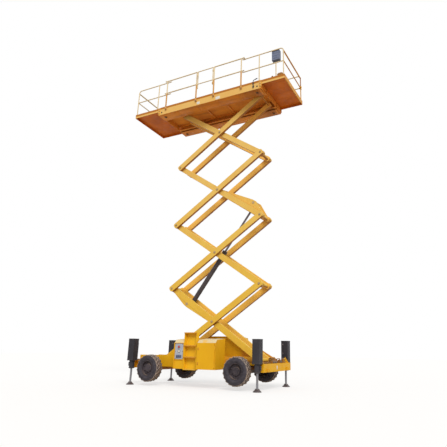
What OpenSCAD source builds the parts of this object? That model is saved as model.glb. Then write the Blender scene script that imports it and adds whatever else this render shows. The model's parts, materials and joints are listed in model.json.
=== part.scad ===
// Rough terrain scissor lift, raised on its four jacks.
// Millimetres, +Z up, +X towards the steered end, -Y is the ladder side.
// The origin is on the ground under the middle of the extended platform.

/* [Scissor stack] */
// arm length from end pin to end pin
arm_length = 3810; // [3400:10:4200]
// depth of an arm tube
arm_depth = 180; // [140:5:190]
// width of an arm tube
arm_width = 90; // [70:5:100]
// angle of the arms above level in the built pose
lift_angle = 34.4; // [20:0.1:40]
// radius of the end pins
pin_radius = 30; // [22:1:36]
// height of the lowest pivots above the ground
base_pivot_height = 769; // [740:1:800]

/* [Wheels] */
// distance between the axles
wheel_base = 2960; // [2800:10:3060]
// tyre radius at the tips of the lugs
tyre_radius = 384; // [350:1:395]
// tyre width
tyre_width = 290; // [240:5:300]
// width over the outer faces of the tyres
overall_track = 2224; // [2180:2:2260]
// height of the wheel axis above the ground
axle_height = 485; // [470:1:500]
// rim radius
rim_radius = 215; // [190:1:225]
// height of the tyre lugs
lug_height = 16; // [12:1:24]
// width of a tyre lug
lug_width = 34; // [26:1:40]
// lugs in each row of a tyre
lug_count = 20; // [16:1:22]

/* [Jacks] */
// distance from an axle to the jacks beyond it
jack_ahead = 634; // [620:2:700]
// distance between the jacks across the machine
jack_track = 2060; // [2040:2:2120]
// side of a jack housing
jack_side = 212; // [196:2:216]
// top of a jack housing
jack_top = 1320; // [1290:1:1380]
// radius of a jack rod
jack_rod_radius = 30; // [24:1:36]
// travel of a jack
jack_stroke = 360; // [300:10:380]

/* [Platform] */
// half width of the main deck
deck_half_width = 894; // [880:1:910]
// how far the rear extension stands out
rear_out = 1122; // [900:1:1200]
// how far the front extension stands out
front_out = 838; // [700:1:1000]
// length of an extension deck
extension_length = 1620; // [1500:10:1660]
// top rail above the upper pivots
rail_height = 1257; // [1220:1:1300]
// middle rail above the upper pivots
mid_rail_height = 739; // [700:1:780]
// radius of the main rail tubes
rail_radius = 20; // [16:1:22]
// radius of the extension rail tubes
slide_rail_radius = 18; // [14:1:19]

/* [Clearances] */
// radial clearance of a pin in its bore
pin_clear = 0.5; // [0.2:0.1:1]
// gap between an inner and an outer arm
arm_gap = 10; // [8:1:14]
// gap between parts that slide past each other
slide_gap = 6; // [6:1:8]

/* [Hidden] */
$fn = 40;
levels = 4;
wall = 8;
inner_y = 190;
outer_y = inner_y + arm_width + arm_gap;
stack_y = outer_y + arm_width;
head_t = 12;
head_radius = 36;
arm_end = 88;
arm_chamfer = 40;
girder_in = stack_y + 30;
girder_out = girder_in + 110;
girder_low = 520;
girder_top = base_pivot_height + 81;
track_half = 66;
roller_radius = track_half - slide_gap;
chassis_x = (rear_out - front_out) / 2;
wheel_span = wheel_base / 2;
jack_base = wheel_base + 2 * jack_ahead;
pivot_x = chassis_x + jack_base / 2 - 274;
rise = arm_length * sin(lift_angle);
slide_x = pivot_x - arm_length * cos(lift_angle);
top_z = base_pivot_height + levels * rise;
low_arm_at = 740;
low_arm_drop = 108;
high_arm_at = 545;
high_arm_lift = 230;
ram_off = low_arm_drop + high_arm_lift;
ram_dx = (arm_length - low_arm_at - high_arm_at) * cos(lift_angle) + ram_off * sin(lift_angle);
ram_dz = (arm_length + low_arm_at + high_arm_at) * sin(lift_angle) + ram_off * cos(lift_angle);
ram_length = norm([ram_dx, ram_dz]);
ram_angle = atan2(ram_dz, ram_dx);
ram_x = slide_x + low_arm_at * cos(lift_angle) - low_arm_drop * sin(lift_angle);
ram_z = base_pivot_height + rise - low_arm_at * sin(lift_angle) - low_arm_drop * cos(lift_angle);
barrel_length = 2060;
barrel_radius = 74;
rod_tail = barrel_length - 570;
ram_rod_radius = 33;
ram_pin = 35;
plate_in = inner_y - 30;
wheel_y = overall_track / 2 - tyre_width / 2;
kingpin_y = wheel_y - 180;
steer_arm = 190;
tyre_crown = tyre_radius - lug_height;
lug_slant = 37;
front_axle_x = chassis_x + wheel_span;
rear_axle_x = chassis_x - wheel_span;
jack_y = jack_track / 2;
front_jack_x = chassis_x + jack_base / 2;
rear_jack_x = chassis_x - jack_base / 2;
collar_low = 466;
housing_low = 690;
collar_radius = 80;
beam_end = jack_y - jack_side / 2;
beam_out = jack_base / 2 + 136;
beam_depth = 120;
beam_low = 474;
beam_top = 690;
lug_reach = 40;
lug_radius = 38;
lug_bore = 20;
side_in = girder_out;
side_out = 1080;
side_front = side_out - 20;
side_low = 500;
side_plate_t = 20;
hood_low = 1213;
hood_mid = 1300;
hood_top = 1345;
far_lift = 95;
hinge_heights = [side_low + 60, hood_low - 200];
power_rear = chassis_x + 230;
power_front = front_axle_x - 642;
cabinet_rear = rear_axle_x + 927;
cabinet_front = chassis_x - 209;
ladder_rear = cabinet_front;
ladder_front = chassis_x + 213;
ladder_back = side_out - 130;
panel_low = side_low + 260;
tread_t = 18;
tread_heights = [475, 810, 1125, 1482];
hinge_pin = 4;
deck_length = jack_base - 58;
deck_front = chassis_x + deck_length / 2;
deck_rear = chassis_x - deck_length / 2;
skirt_low = top_z - 111;
skirt_top = top_z + 204;
skirt_t = 10;
floor_top = top_z + 125;
floor_t = 10;
ext_low = top_z + 51;
ext_floor = floor_top + slide_gap;
post_radius = rail_radius + 6;
ext_half = deck_half_width - skirt_t - 10;
floor_half = ext_half - 10 - 8;
rail_y = deck_half_width + post_radius + 4;
ext_rail_y = ext_half - 10 - slide_rail_radius;
rail_z = top_z + rail_height;
mid_z = top_z + mid_rail_height;
end_post = 43;
rail_bend = 110;
rail_reach = extension_length - 60;
rear_post = 1012;
front_post = 920;
gate_rear = chassis_x - 449;
gate_front = chassis_x + 277;
gate_gap = 50;
guide_rear = deck_rear + 243;
guide_front = deck_front - 627;
gate_tube = 16;
rear_end = deck_rear - rear_out;
front_end = deck_front + front_out;

// which sub-part is drawn

// a round bar along X
module bar_x(x0, x1, y, z, r) {
  translate([x0, y, z])
    rotate([0, 90, 0])
      cylinder(r = r, h = x1 - x0);
}

// a round bar along Y
module bar_y(x, y0, y1, z, r) {
  translate([x, y1, z])
    rotate([90, 0, 0])
      cylinder(r = r, h = y1 - y0);
}

// a round bar along Z
module bar_z(x, y, z0, z1, r) {
  translate([x, y, z0])
    cylinder(r = r, h = z1 - z0);
}

// a block between two corners
module block(low, high) {
  translate(low)
    cube(high - low);
}

// the same shape on both sides of the machine
module both_sides() {
  children();
  mirror([0, 1, 0])
    children();
}

// one arm tube from its end pin at zero along X, with chamfered ends closed round the pins
module arm_tube(y0) {
  half = arm_depth / 2;
  difference() {
    translate([0, y0 + arm_width, 0])
      rotate([90, 0, 0])
        linear_extrude(arm_width)
          polygon([[-arm_end, arm_chamfer - half], [arm_chamfer - arm_end, -half],
            [arm_length + arm_end - arm_chamfer, -half], [arm_length + arm_end, arm_chamfer - half],
            [arm_length + arm_end, half - arm_chamfer], [arm_length + arm_end - arm_chamfer, half],
            [arm_chamfer - arm_end, half], [-arm_end, half - arm_chamfer]]);
    for (x0 = [140, arm_length / 2 + 110]) {
      block([x0, y0 + wall, wall - half],
        [x0 + arm_length / 2 - 250, y0 + arm_width - wall, half - wall]);
      block([x0 + 300, y0 + 30, half - wall - 1], [x0 + 340, y0 + arm_width - 30, half + 1]);
    }
  }
}

// two outer arms joined by their end shafts, with stubs at the middle
module outer_arms(low_end, high_end) {
  both_sides()
    arm_tube(outer_y);
  bar_y(0, -low_end, low_end, 0, pin_radius);
  bar_y(arm_length, -high_end, high_end, 0, pin_radius);
  both_sides()
    bar_y(arm_length / 2, inner_y - 6, outer_y + 1, 0, pin_radius + 10);
}

// two inner arms bored for the outer arms' shafts, with tubes and any plates between them
module inner_arms(low_bored, high_bored) {
  difference() {
    union() {
      both_sides()
        arm_tube(inner_y);
      bar_y(0, -inner_y - 1, inner_y + 1, 0, pin_radius + 25);
      bar_y(arm_length, -inner_y - 1, inner_y + 1, 0, pin_radius + 25);
      children();
    }
    if (low_bored)
      bar_y(0, -outer_y, outer_y, 0, pin_radius + pin_clear);
    if (high_bored)
      bar_y(arm_length, -outer_y, outer_y, 0, pin_radius + pin_clear);
    both_sides()
      bar_y(arm_length / 2, inner_y - 1, outer_y, 0, pin_radius + 10 + pin_clear);
  }
}

// places an outer arm pair in its level, rising to the front
module place_outer(level) {
  translate([slide_x, 0, base_pivot_height + (level - 1) * rise])
    rotate([0, -lift_angle, 0])
      children();
}

// places an inner arm pair in its level, rising to the rear
module place_inner(level) {
  translate([pivot_x, 0, base_pivot_height + (level - 1) * rise])
    rotate([0, lift_angle, 0])
      mirror([1, 0, 0])
        children();
}

// round heads on the outer faces of an outer arm pair
module pin_heads(level, low_head, high_head) {
  place_outer(level)
    both_sides() {
      if (low_head)
        bar_y(0, stack_y, stack_y + head_t, 0, head_radius);
      if (high_head)
        bar_y(arm_length, stack_y, stack_y + head_t, 0, head_radius);
      bar_y(arm_length / 2, stack_y, stack_y + head_t, 0, head_radius + 4);
    }
}

// side member of the chassis: two stacked channels, open inwards
module girder_section() {
  polygon([[girder_in, girder_low], [girder_out, girder_low], [girder_out, girder_top],
    [girder_in, girder_top],
    [girder_in, girder_top - 15], [girder_out - 12, girder_top - 15],
    [girder_out - 12, base_pivot_height - track_half], [girder_in, base_pivot_height - track_half],
    [girder_in, base_pivot_height - track_half - 15],
      [girder_out - 12, base_pivot_height - track_half - 15],
    [girder_out - 12, girder_low + 12], [girder_in, girder_low + 12]]);
}

module chassis_frame() {
  color("goldenrod")
    difference() {
      union() {
        both_sides() {
          translate([chassis_x - beam_out + 12, 0, 0])
            rotate([90, 0, 90])
              linear_extrude(2 * beam_out - 24)
                girder_section();
          // pivot block in the front of the track
          block([pivot_x - 90, girder_in, base_pivot_height - track_half - 1],
            [pivot_x + 90, girder_out - 11, girder_top - 14]);
          // ledge along the front of the side member
          block([pivot_x - 480, girder_out - 1, beam_top - 60],
            [chassis_x + beam_out - 13, girder_out + 40, beam_top]);
          // end beam channels
          for (end = [-1, 1])
            translate([chassis_x, 0, 0])
              scale([end, 1, 1]) {
                block([beam_out - 12, -1, beam_low], [beam_out, beam_end, beam_top]);
                block([beam_out - beam_depth, -1, beam_top - 12], [beam_out, beam_end, beam_top]);
                block([beam_out - beam_depth, -1, beam_low], [beam_out, beam_end, beam_low + 12]);
                // sloped bracket that holds a jack
                translate([0, beam_end, 0])
                  rotate([90, 0, 0])
                    linear_extrude(12)
                      polygon([[beam_out - beam_depth, beam_low], [beam_out, beam_low],
                        [beam_out, beam_top], [beam_out - beam_depth, beam_top + 170]]);
              }
        }
        // sloped plate on the near side behind the cabinet
        translate([0, side_plate_t - girder_out, 0])
          rotate([90, 0, 0])
            linear_extrude(side_plate_t)
              polygon([[cabinet_rear - 610, girder_top - 1], [cabinet_rear + 60, girder_top - 1],
                [cabinet_rear + 60, girder_top + 330], [cabinet_rear - 250, girder_top + 330]]);
        // long sloped plate on the far side from the box down to the pivot
        translate([0, girder_out, 0])
          rotate([90, 0, 0])
            linear_extrude(side_plate_t)
              polygon([[power_front - 30, girder_top - 1], [pivot_x + 60, girder_top - 1],
                [power_front - 30, hood_top + far_lift]]);
        // covers in front of the far jacks
        for (end = [-1, 1])
          translate([chassis_x, 0, 0])
            scale([end, 1, 1])
              block([beam_out - 12, beam_end - 1, beam_low], [beam_out, jack_y + 45, beam_top]);
        // cross members between the side members
        for (x = [chassis_x - 500, chassis_x + 800])
          block([x, -girder_in - 1, girder_low], [x + 100, girder_in + 1, girder_low + 110]);
      }
      bar_y(pivot_x, -girder_out + 12, girder_out - 12, base_pivot_height, pin_radius + pin_clear);
      // fronts of the side members, sloped down to the beam
      translate([0, girder_out + 1, 0])
        rotate([90, 0, 0])
          linear_extrude(2 * girder_out + 2)
            polygon([[pivot_x + 110, girder_top + 1], [pivot_x + 290, beam_top],
              [chassis_x + beam_out + 1, beam_top], [chassis_x + beam_out + 1, girder_top + 1]]);
    }
}

module tie_lugs() {
  color("goldenrod")
    for (end = [-1, 1])
      for (y = [-700, 700])
        translate([chassis_x + end * beam_out, y, beam_low + 60])
          scale([end, 1, 1])
            difference() {
              union() {
                block([0, -10, -lug_radius], [lug_reach, 10, lug_radius]);
                bar_y(lug_reach, -10, 10, 0, lug_radius);
              }
              bar_y(lug_reach, -11, 11, 0, lug_bore);
            }
}

module front_axle() {
  color("dimgray") {
    block([front_axle_x - 55, 80 - kingpin_y, girder_low - 95],
      [front_axle_x + 55, kingpin_y - 80, girder_low]);
    both_sides()
      difference() {
        union()
          for (z = [axle_height - 105, axle_height + 75]) {
            block([front_axle_x - 45, kingpin_y - 90, z], [front_axle_x + 45, kingpin_y, z + 30]);
            bar_z(front_axle_x, kingpin_y, z, z + 30, 45);
          }
        bar_z(front_axle_x, kingpin_y, axle_height - 110, axle_height + 110, 22 + pin_clear);
      }
    both_sides()
      block([front_axle_x - 45, kingpin_y - 90, axle_height - 105],
        [front_axle_x + 45, kingpin_y - 60, axle_height + 105]);
  }
}

module rear_axle() {
  color("dimgray") {
    block([rear_axle_x - 55, 130 - wheel_y, girder_low - 95],
      [rear_axle_x + 55, wheel_y - 130, girder_low]);
    both_sides() {
      bar_y(rear_axle_x, wheel_y - 160, wheel_y - 60, axle_height, 90);
      bar_y(rear_axle_x, wheel_y - 61, wheel_y + 40, axle_height, 45);
    }
  }
}

module knuckle() {
  difference() {
    union() {
      block([front_axle_x - steer_arm, kingpin_y - 18, axle_height - 60],
        [front_axle_x, kingpin_y + 18, axle_height - 30]);
      bar_z(front_axle_x - steer_arm, kingpin_y, axle_height - 60, axle_height - 30, 30);
    }
    bar_z(front_axle_x - steer_arm, kingpin_y, axle_height - 61, axle_height - 29, 12 + pin_clear);
  }
  bar_z(front_axle_x, kingpin_y, axle_height - 108, axle_height + 108, 22);
  bar_z(front_axle_x, kingpin_y, axle_height - 70, axle_height + 70, 42);
  bar_y(front_axle_x, kingpin_y, wheel_y - 60, axle_height, 60);
  bar_y(front_axle_x, wheel_y - 61, wheel_y + 40, axle_height, 45);
}

module knuckle_far() {
  color("dimgray")
    knuckle();
}

module knuckle_near() {
  color("dimgray")
    mirror([0, 1, 0])
      knuckle();
}

module tie_rod() {
  color("silver") {
    bar_y(front_axle_x - steer_arm, -kingpin_y, kingpin_y, axle_height - 85, 17);
    both_sides() {
      bar_z(front_axle_x - steer_arm, kingpin_y, axle_height - 105, axle_height - 61, 27);
      bar_z(front_axle_x - steer_arm, kingpin_y, axle_height - 62, axle_height - 24, 12);
    }
  }
}

// outline of a row of lugs, seen along the tyre's axis
module lug_outline() {
  step = 360 / lug_count;
  share = lug_width / cos(lug_slant) / (2 * PI * tyre_radius / lug_count);
  polygon([for (i = [0:lug_count - 1])
    for (p = [[0, tyre_crown], [0.05, tyre_radius], [share - 0.05, tyre_radius], [share, tyre_crown]])
      p[1] * [cos((i + p[0]) * step), sin((i + p[0]) * step)]]);
}

// a row of slanted lugs round Z, from just off the tyre's middle to near its shoulder
module lug_row() {
  reach = tyre_width / 2 - 29;
  difference() {
    translate([0, 0, 3])
      linear_extrude(height = reach, twist = reach * tan(lug_slant) / tyre_radius * 180 / PI, slices = 1)
        lug_outline();
    cylinder(r = tyre_crown - 14, h = tyre_width, $fn = 34);
  }
}

// one tyre round Y, with its two rows of lugs half a step apart
module tyre() {
  shoulder = tyre_width / 2 - 22;
  wall = tyre_width / 2;
  rotate([90, 0, 0]) {
    rotate_extrude($fn = 34)
      polygon([[rim_radius, 30 - wall], [rim_radius, wall - 30], [rim_radius + 30, wall - 10],
        [tyre_crown - 90, wall], [tyre_crown - 12, shoulder], [tyre_crown - 12, -shoulder],
        [tyre_crown - 90, -wall], [rim_radius + 30, 10 - wall]]);
    lug_row();
    rotate([0, 0, 180 / lug_count])
      mirror([0, 0, 1])
        lug_row();
  }
}

module rim() {
  rotate([-90, 0, 0])
    rotate_extrude($fn = 48)
      polygon([[45 + pin_clear, -55], [100, -55], [120, 20], [rim_radius - 25, 30],
        [rim_radius - 20, -tyre_width / 2 + 32],
        [rim_radius, -tyre_width / 2 + 32], [rim_radius, tyre_width / 2 - 32],
          [rim_radius - 20, tyre_width / 2 - 32],
        [rim_radius - 25, 46], [130, 40], [110, 75], [60, 80], [0, 80], [0, 45], [45 + pin_clear, 45]]);
}

module tyre_front_near() {
  color("dimgray")
    translate([front_axle_x, -wheel_y, axle_height])
      tyre();
}

module tyre_front_far() {
  color("dimgray")
    translate([front_axle_x, wheel_y, axle_height])
      tyre();
}

module tyre_rear_near() {
  color("dimgray")
    translate([rear_axle_x, -wheel_y, axle_height])
      tyre();
}

module tyre_rear_far() {
  color("dimgray")
    translate([rear_axle_x, wheel_y, axle_height])
      tyre();
}

module rim_front_near() {
  color("gray")
    translate([front_axle_x, -wheel_y, axle_height])
      mirror([0, 1, 0])
        rim();
}

module rim_front_far() {
  color("gray")
    translate([front_axle_x, wheel_y, axle_height])
      rim();
}

module rim_rear_near() {
  color("gray")
    translate([rear_axle_x, -wheel_y, axle_height])
      mirror([0, 1, 0])
        rim();
}

module rim_rear_far() {
  color("gray")
    translate([rear_axle_x, wheel_y, axle_height])
      rim();
}

module jack_housing(x, y) {
  translate([x, y, 0])
    difference() {
      union() {
        block([-jack_side / 2, -jack_side / 2, housing_low], [jack_side / 2, jack_side / 2, jack_top]);
        bar_z(0, 0, collar_low, housing_low + 6, collar_radius);
      }
      block([wall - jack_side / 2, wall - jack_side / 2, housing_low + 2 * wall],
        [jack_side / 2 - wall, jack_side / 2 - wall, jack_top - wall]);
      bar_z(0, 0, collar_low - 1, housing_low + 40, jack_rod_radius + pin_clear);
    }
}

module jack_housings() {
  color("dimgray")
    for (x = [rear_jack_x, front_jack_x])
      for (y = [-jack_y, jack_y])
        jack_housing(x, y);
}

module jack_rod() {
  high = jack_top - jack_stroke - 30;
  rotate_extrude()
    polygon([[0, 0], [115, 0], [115, 14], [62, 60], [46, 75], [jack_rod_radius, 75],
      [jack_rod_radius, high],
      [0, high]]);
}

module jack_rod_front_near() {
  color("silver")
    translate([front_jack_x, -jack_y, 0])
      jack_rod();
}

module jack_rod_front_far() {
  color("silver")
    translate([front_jack_x, jack_y, 0])
      jack_rod();
}

module jack_rod_rear_near() {
  color("silver")
    translate([rear_jack_x, -jack_y, 0])
      jack_rod();
}

module jack_rod_rear_far() {
  color("silver")
    translate([rear_jack_x, jack_y, 0])
      jack_rod();
}

// a section in the YZ plane, drawn out along X
module along_x(x0, x1) {
  translate([x0, 0, 0])
    rotate([90, 0, 90])
      linear_extrude(x1 - x0)
        children();
}

// outline of a side box on the far side: upright front, then a hood that slopes up to the chassis
module hood_section(inset, front, back, lift) {
  polygon([[back, side_low + inset], [front, side_low + inset], [front, hood_low - inset],
    [side_front - 80 - inset, hood_mid + lift - inset], [back, hood_top + lift - inset]]);
}

// hinge pins on the front edge of a side box
module box_hinges(x1) {
  for (z = hinge_heights) {
    bar_z(x1 - 12, side_out - 8, z, z + 150, hinge_pin);
    bar_z(x1 - 12, side_out - 8, z + 121, z + 150, 8);
    block([x1 - wall, side_front - 1, z + 121], [x1, side_out - 8, z + 150]);
    block([x1 - 12, side_out - 16, z + 121], [x1 - wall + 1, side_out - 8, z + 150]);
  }
}

// hooded sheet box on the far side, with a framed opening behind its door
module open_box(x0, x1, lift) {
  difference() {
    along_x(x0, x1)
      hood_section(0, side_front, side_in, lift);
    along_x(x0 + wall, x1 - wall)
      hood_section(wall, side_front - wall, side_in + wall, lift);
    block([x0 + 40, side_front - wall - 1, side_low + 40], [x1 - 60, side_out, hood_low - 40]);
  }
  box_hinges(x1);
}

// door plate for a side box, with its hinge barrels on the front edge
module box_door(x0, x1) {
  block([x0, side_front + 2, side_low], [x1 - 30, side_out, hood_low]);
  for (z = hinge_heights)
    difference() {
      union() {
        bar_z(x1 - 12, side_out - 8, z, z + 120, 8);
        block([x1 - 31, side_out - 14, z], [x1 - 12, side_out - 2, z + 120]);
      }
      bar_z(x1 - 12, side_out - 8, z - 1, z + 121, hinge_pin + pin_clear);
    }
}

module power_box() {
  color("goldenrod")
    mirror([0, 1, 0])
      open_box(power_rear, power_front, 0);
}

module power_door() {
  color("goldenrod")
    mirror([0, 1, 0])
      box_door(power_rear, power_front);
}

module engine() {
  long = power_front - power_rear;
  color("dimgray") {
    block([power_rear + 0.15 * long, -side_out + 120, side_low + wall],
      [power_rear + 0.74 * long, -side_in - 60, side_low + 330]);
    block([power_rear + 0.21 * long, -side_out + 180, side_low + 329],
      [power_rear + 0.64 * long, -side_in - 120, side_low + 480]);
    bar_x(power_rear + 0.73 * long, power_rear + 0.88 * long, -side_out + 260, side_low + 190, 130);
    bar_y(power_rear + 0.33 * long, -side_out + 70, -side_out + 121, side_low + 150, 55);
  }
}

module tank_box() {
  color("goldenrod")
    open_box(cabinet_rear, power_front, far_lift);
}

module tank_door() {
  color("goldenrod")
    box_door(cabinet_rear, power_front);
}

module tank() {
  long = power_front - cabinet_rear;
  color("gray") {
    block([cabinet_rear + 0.08 * long, side_in + 60, side_low + wall],
      [cabinet_rear + 0.44 * long, side_out - 130, side_low + 520]);
    bar_z(cabinet_rear + 0.18 * long, side_in + 160, side_low + 519, side_low + 570, 45);
    block([cabinet_rear + 0.51 * long, side_in + 60, side_low + wall],
      [power_front - 0.09 * long, side_out - 130, side_low + 300]);
  }
}

module control_cabinet() {
  color("goldenrod")
    mirror([0, 1, 0]) {
      difference() {
        along_x(cabinet_rear, cabinet_front)
          hood_section(0, side_front, side_in, 0);
        along_x(cabinet_rear + wall, cabinet_front - wall)
          hood_section(wall, side_front - wall, side_in - 1, 0);
      }
      // frame round the panel
      for (x = [cabinet_rear, cabinet_front - 20])
        block([x, side_front - 1, side_low], [x + 20, side_out, hood_low]);
      for (z = [panel_low - 18, hood_low - 14])
        block([cabinet_rear, side_front - 1, z], [cabinet_front, side_out, z + 14]);
    }
}

module control_panel() {
  color("lightsteelblue")
    block([cabinet_rear + 34, -side_front - 8, panel_low], [cabinet_front - 34, -side_front, hood_low - 24]);
}

module ladder() {
  low = tread_heights[0];
  high = tread_heights[3] + tread_t;
  color("goldenrod") {
    for (x = [ladder_rear, ladder_front - 12])
      block([x, -side_out, low], [x + 12, -ladder_back, high]);
    block([ladder_rear, -ladder_back - 12, low], [ladder_front, -ladder_back, high]);
    for (z = tread_heights)
      block([ladder_rear, -side_out, z], [ladder_front, -ladder_back, z + tread_t]);
    block([ladder_rear + 100, -ladder_back - 1, girder_low + 80],
      [ladder_front - 100, -side_in, girder_low + 180]);
  }
}

module valve_block() {
  color("dimgray") {
    block([chassis_x + beam_out - 110, -260, beam_top], [chassis_x + beam_out - 20, 40, beam_top + 70]);
    for (y = [-230, -170, -110, -50, 10])
      bar_z(chassis_x + beam_out - 65, y, beam_top + 69, beam_top + 120, 16);
    block([chassis_x + beam_out - 100, 300, beam_top], [chassis_x + beam_out - 30, 420, beam_top + 90]);
    bar_z(chassis_x + beam_out - 65, 620, beam_top, beam_top + 130, 36);
  }
}

// two plates inside an arm pair that carry a pin of the lift cylinder, from one foot to the other
module ram_plates(pin_lift, low_foot, high_foot) {
  both_sides() {
    translate([0, inner_y - slide_gap, 0])
      rotate([90, 0, 0])
        linear_extrude(inner_y - slide_gap - plate_in)
          polygon([[-low_foot, -60], [high_foot, -60], [high_foot, 40], [80, pin_lift + 78],
            [-80, pin_lift + 78], [-low_foot, 40]]);
    block([-low_foot, inner_y - slide_gap - 1, -60], [high_foot, inner_y + 1, 40]);
  }
}

module arm_b1() {
  color("goldenrod")
    place_inner(1)
      difference() {
        union() {
          inner_arms(false, true)
            translate([arm_length - low_arm_at, 0, 0])
              mirror([0, 0, 1])
                ram_plates(low_arm_drop, 900, low_arm_at + 70);
          bar_y(0, 20 - girder_out, girder_out - 20, 0, pin_radius);
        }
        bar_y(arm_length - low_arm_at, -inner_y + 1, inner_y - 1, -low_arm_drop, ram_pin + pin_clear);
      }
}

module arm_a1() {
  color("goldenrod")
    place_outer(1)
      outer_arms(girder_out - 20, stack_y);
}

module arm_a2() {
  color("goldenrod")
    place_outer(2)
      outer_arms(stack_y, stack_y);
}

module arm_b2() {
  color("goldenrod")
    place_inner(2)
      inner_arms(true, true);
}

module arm_b3() {
  color("goldenrod")
    place_inner(3)
      difference() {
        inner_arms(true, true)
          translate([high_arm_at, 0, 0])
            ram_plates(high_arm_lift, high_arm_at + 70, 600);
        bar_y(high_arm_at, -inner_y + 1, inner_y - 1, high_arm_lift, ram_pin + 3);
      }
}

module arm_a3() {
  color("goldenrod")
    place_outer(3)
      outer_arms(stack_y, stack_y);
}

module arm_a4() {
  color("goldenrod")
    place_outer(4)
      outer_arms(stack_y, girder_out - 20);
}

module arm_b4() {
  color("goldenrod")
    place_inner(4) {
      inner_arms(true, false);
      bar_y(arm_length, 20 - girder_out, girder_out - 20, 0, pin_radius);
    }
}

module pins_a1() {
  color("silver")
    pin_heads(1, false, true);
}

module pins_a2() {
  color("silver")
    pin_heads(2, true, true);
}

module pins_a3() {
  color("silver")
    pin_heads(3, true, true);
}

module pins_a4() {
  color("silver")
    pin_heads(4, true, false);
}

// a pair of rollers on the ends of a shaft
module roller_pair(z) {
  both_sides()
    difference() {
      bar_y(slide_x, girder_in + 4, girder_out - 22, z, roller_radius);
      bar_y(slide_x, girder_in, girder_out, z, pin_radius + pin_clear);
    }
}

module base_rollers() {
  color("silver")
    roller_pair(base_pivot_height);
}

module deck_rollers() {
  color("silver")
    roller_pair(top_z);
}

// places a piece along the lift cylinder from its lower pin
module place_ram() {
  translate([ram_x, 0, ram_z])
    rotate([0, -ram_angle, 0])
      children();
}

module lift_barrel() {
  color("dimgray")
    place_ram() {
      bar_y(0, slide_gap - inner_y, inner_y - slide_gap, 0, ram_pin);
      bar_y(0, -60, 60, 0, 78);
      difference() {
        union() {
          bar_x(40, barrel_length, 0, 0, barrel_radius);
          bar_x(barrel_length - 70, barrel_length, 0, 0, barrel_radius + 10);
        }
        bar_x(150, barrel_length - 60, 0, 0, barrel_radius - 18);
        bar_x(barrel_length - 61, barrel_length + 1, 0, 0, ram_rod_radius + pin_clear);
      }
    }
}

module lift_rod() {
  color("silver")
    place_ram() {
      bar_x(rod_tail, ram_length - 40, 0, 0, ram_rod_radius);
      bar_x(rod_tail, rod_tail + 60, 0, 0, barrel_radius - 19);
      bar_y(ram_length, -60, 60, 0, 72);
      bar_y(ram_length, 40 - plate_in, plate_in - 40, 0, ram_pin);
    }
}

module deck_frame() {
  color("goldenrod")
    difference() {
      union() {
        both_sides() {
          // skirt with its inward foot
          block([deck_rear, deck_half_width - skirt_t, skirt_low],
            [deck_front, deck_half_width, skirt_top]);
          block([deck_rear, deck_half_width - 70, skirt_low],
            [deck_front, deck_half_width, skirt_low + 10]);
          // guide plates at the ends of the skirt
          for (x = [deck_rear - 25, deck_front - 65])
            block([x, deck_half_width - skirt_t, skirt_low + 50],
              [x + 90, deck_half_width + 12, skirt_top - 40]);
          // track channel
          block([deck_rear, girder_out - 12, top_z - track_half - 12],
            [deck_front, girder_out, floor_top - floor_t]);
          block([deck_rear, girder_in, top_z - track_half - 12],
            [deck_front, girder_out, top_z - track_half]);
          block([deck_rear, girder_in, top_z + track_half],
            [deck_front, girder_out, top_z + track_half + 12]);
          block([deck_rear, girder_in, top_z + track_half + 11],
            [deck_front, girder_in + 12, floor_top - floor_t]);
          // pivot block
          block([pivot_x - 80, girder_in, top_z - track_half - 1],
            [pivot_x + 80, girder_out - 11, top_z + track_half + 1]);
          // outriggers from the track to the skirt
          for (i = [0:5])
            translate([deck_rear + i * (deck_length - 12) / 5, 0, 0]) {
              block([0, girder_out - 1, skirt_low], [12, deck_half_width - 9, ext_low - slide_gap]);
              block([0, girder_out - 1, skirt_low], [12, floor_half - 6, floor_top - floor_t]);
            }
        }
        // end members across the middle
        for (x = [deck_rear, deck_front - 12])
          block([x, -girder_in - 1, top_z - track_half - 12], [x + 12, girder_in + 1, floor_top - floor_t]);
        for (i = [2, 3])
          translate([deck_rear + i * (deck_length - 12) / 5, 0, 0])
            block([0, -girder_in - 1, floor_top - 60], [50, girder_in + 1, floor_top - floor_t]);
      }
      bar_y(pivot_x, -girder_out + 12, girder_out - 12, top_z, pin_radius + pin_clear);
    }
}

module deck_floor() {
  color("gray") {
    block([deck_rear, -floor_half, floor_top - floor_t], [deck_front, floor_half, floor_top]);
    // runner strips under the sliding decks
    both_sides()
      for (x = [deck_rear, deck_front - 240])
        block([x, floor_half - 90, floor_top - 1], [x + 240, floor_half - 40, ext_floor - pin_clear]);
  }
}

// post outside the skirt with its foot block
module side_post(x, r) {
  bar_z(x, rail_y, skirt_top - 120, rail_z, rail_radius);
  bar_z(x, rail_y, skirt_top - 120, mid_z, r);
  block([x - 30, deck_half_width, skirt_top - 160], [x + 30, rail_y + 10, skirt_top - 20]);
}

// hook over the extension rail, open below
module rail_guide(x) {
  block([x - 20, ext_rail_y - slide_rail_radius - 14, rail_z + slide_rail_radius + slide_gap],
    [x + 20, rail_y, rail_z + slide_rail_radius + slide_gap + 8]);
  block([x - 20, ext_rail_y - slide_rail_radius - 14, rail_z - 8],
    [x + 20, ext_rail_y - slide_rail_radius - 6, rail_z + slide_rail_radius + slide_gap + 8]);
  bar_z(x, rail_y, rail_z, rail_z + slide_rail_radius + slide_gap + 8, 16);
}

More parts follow.
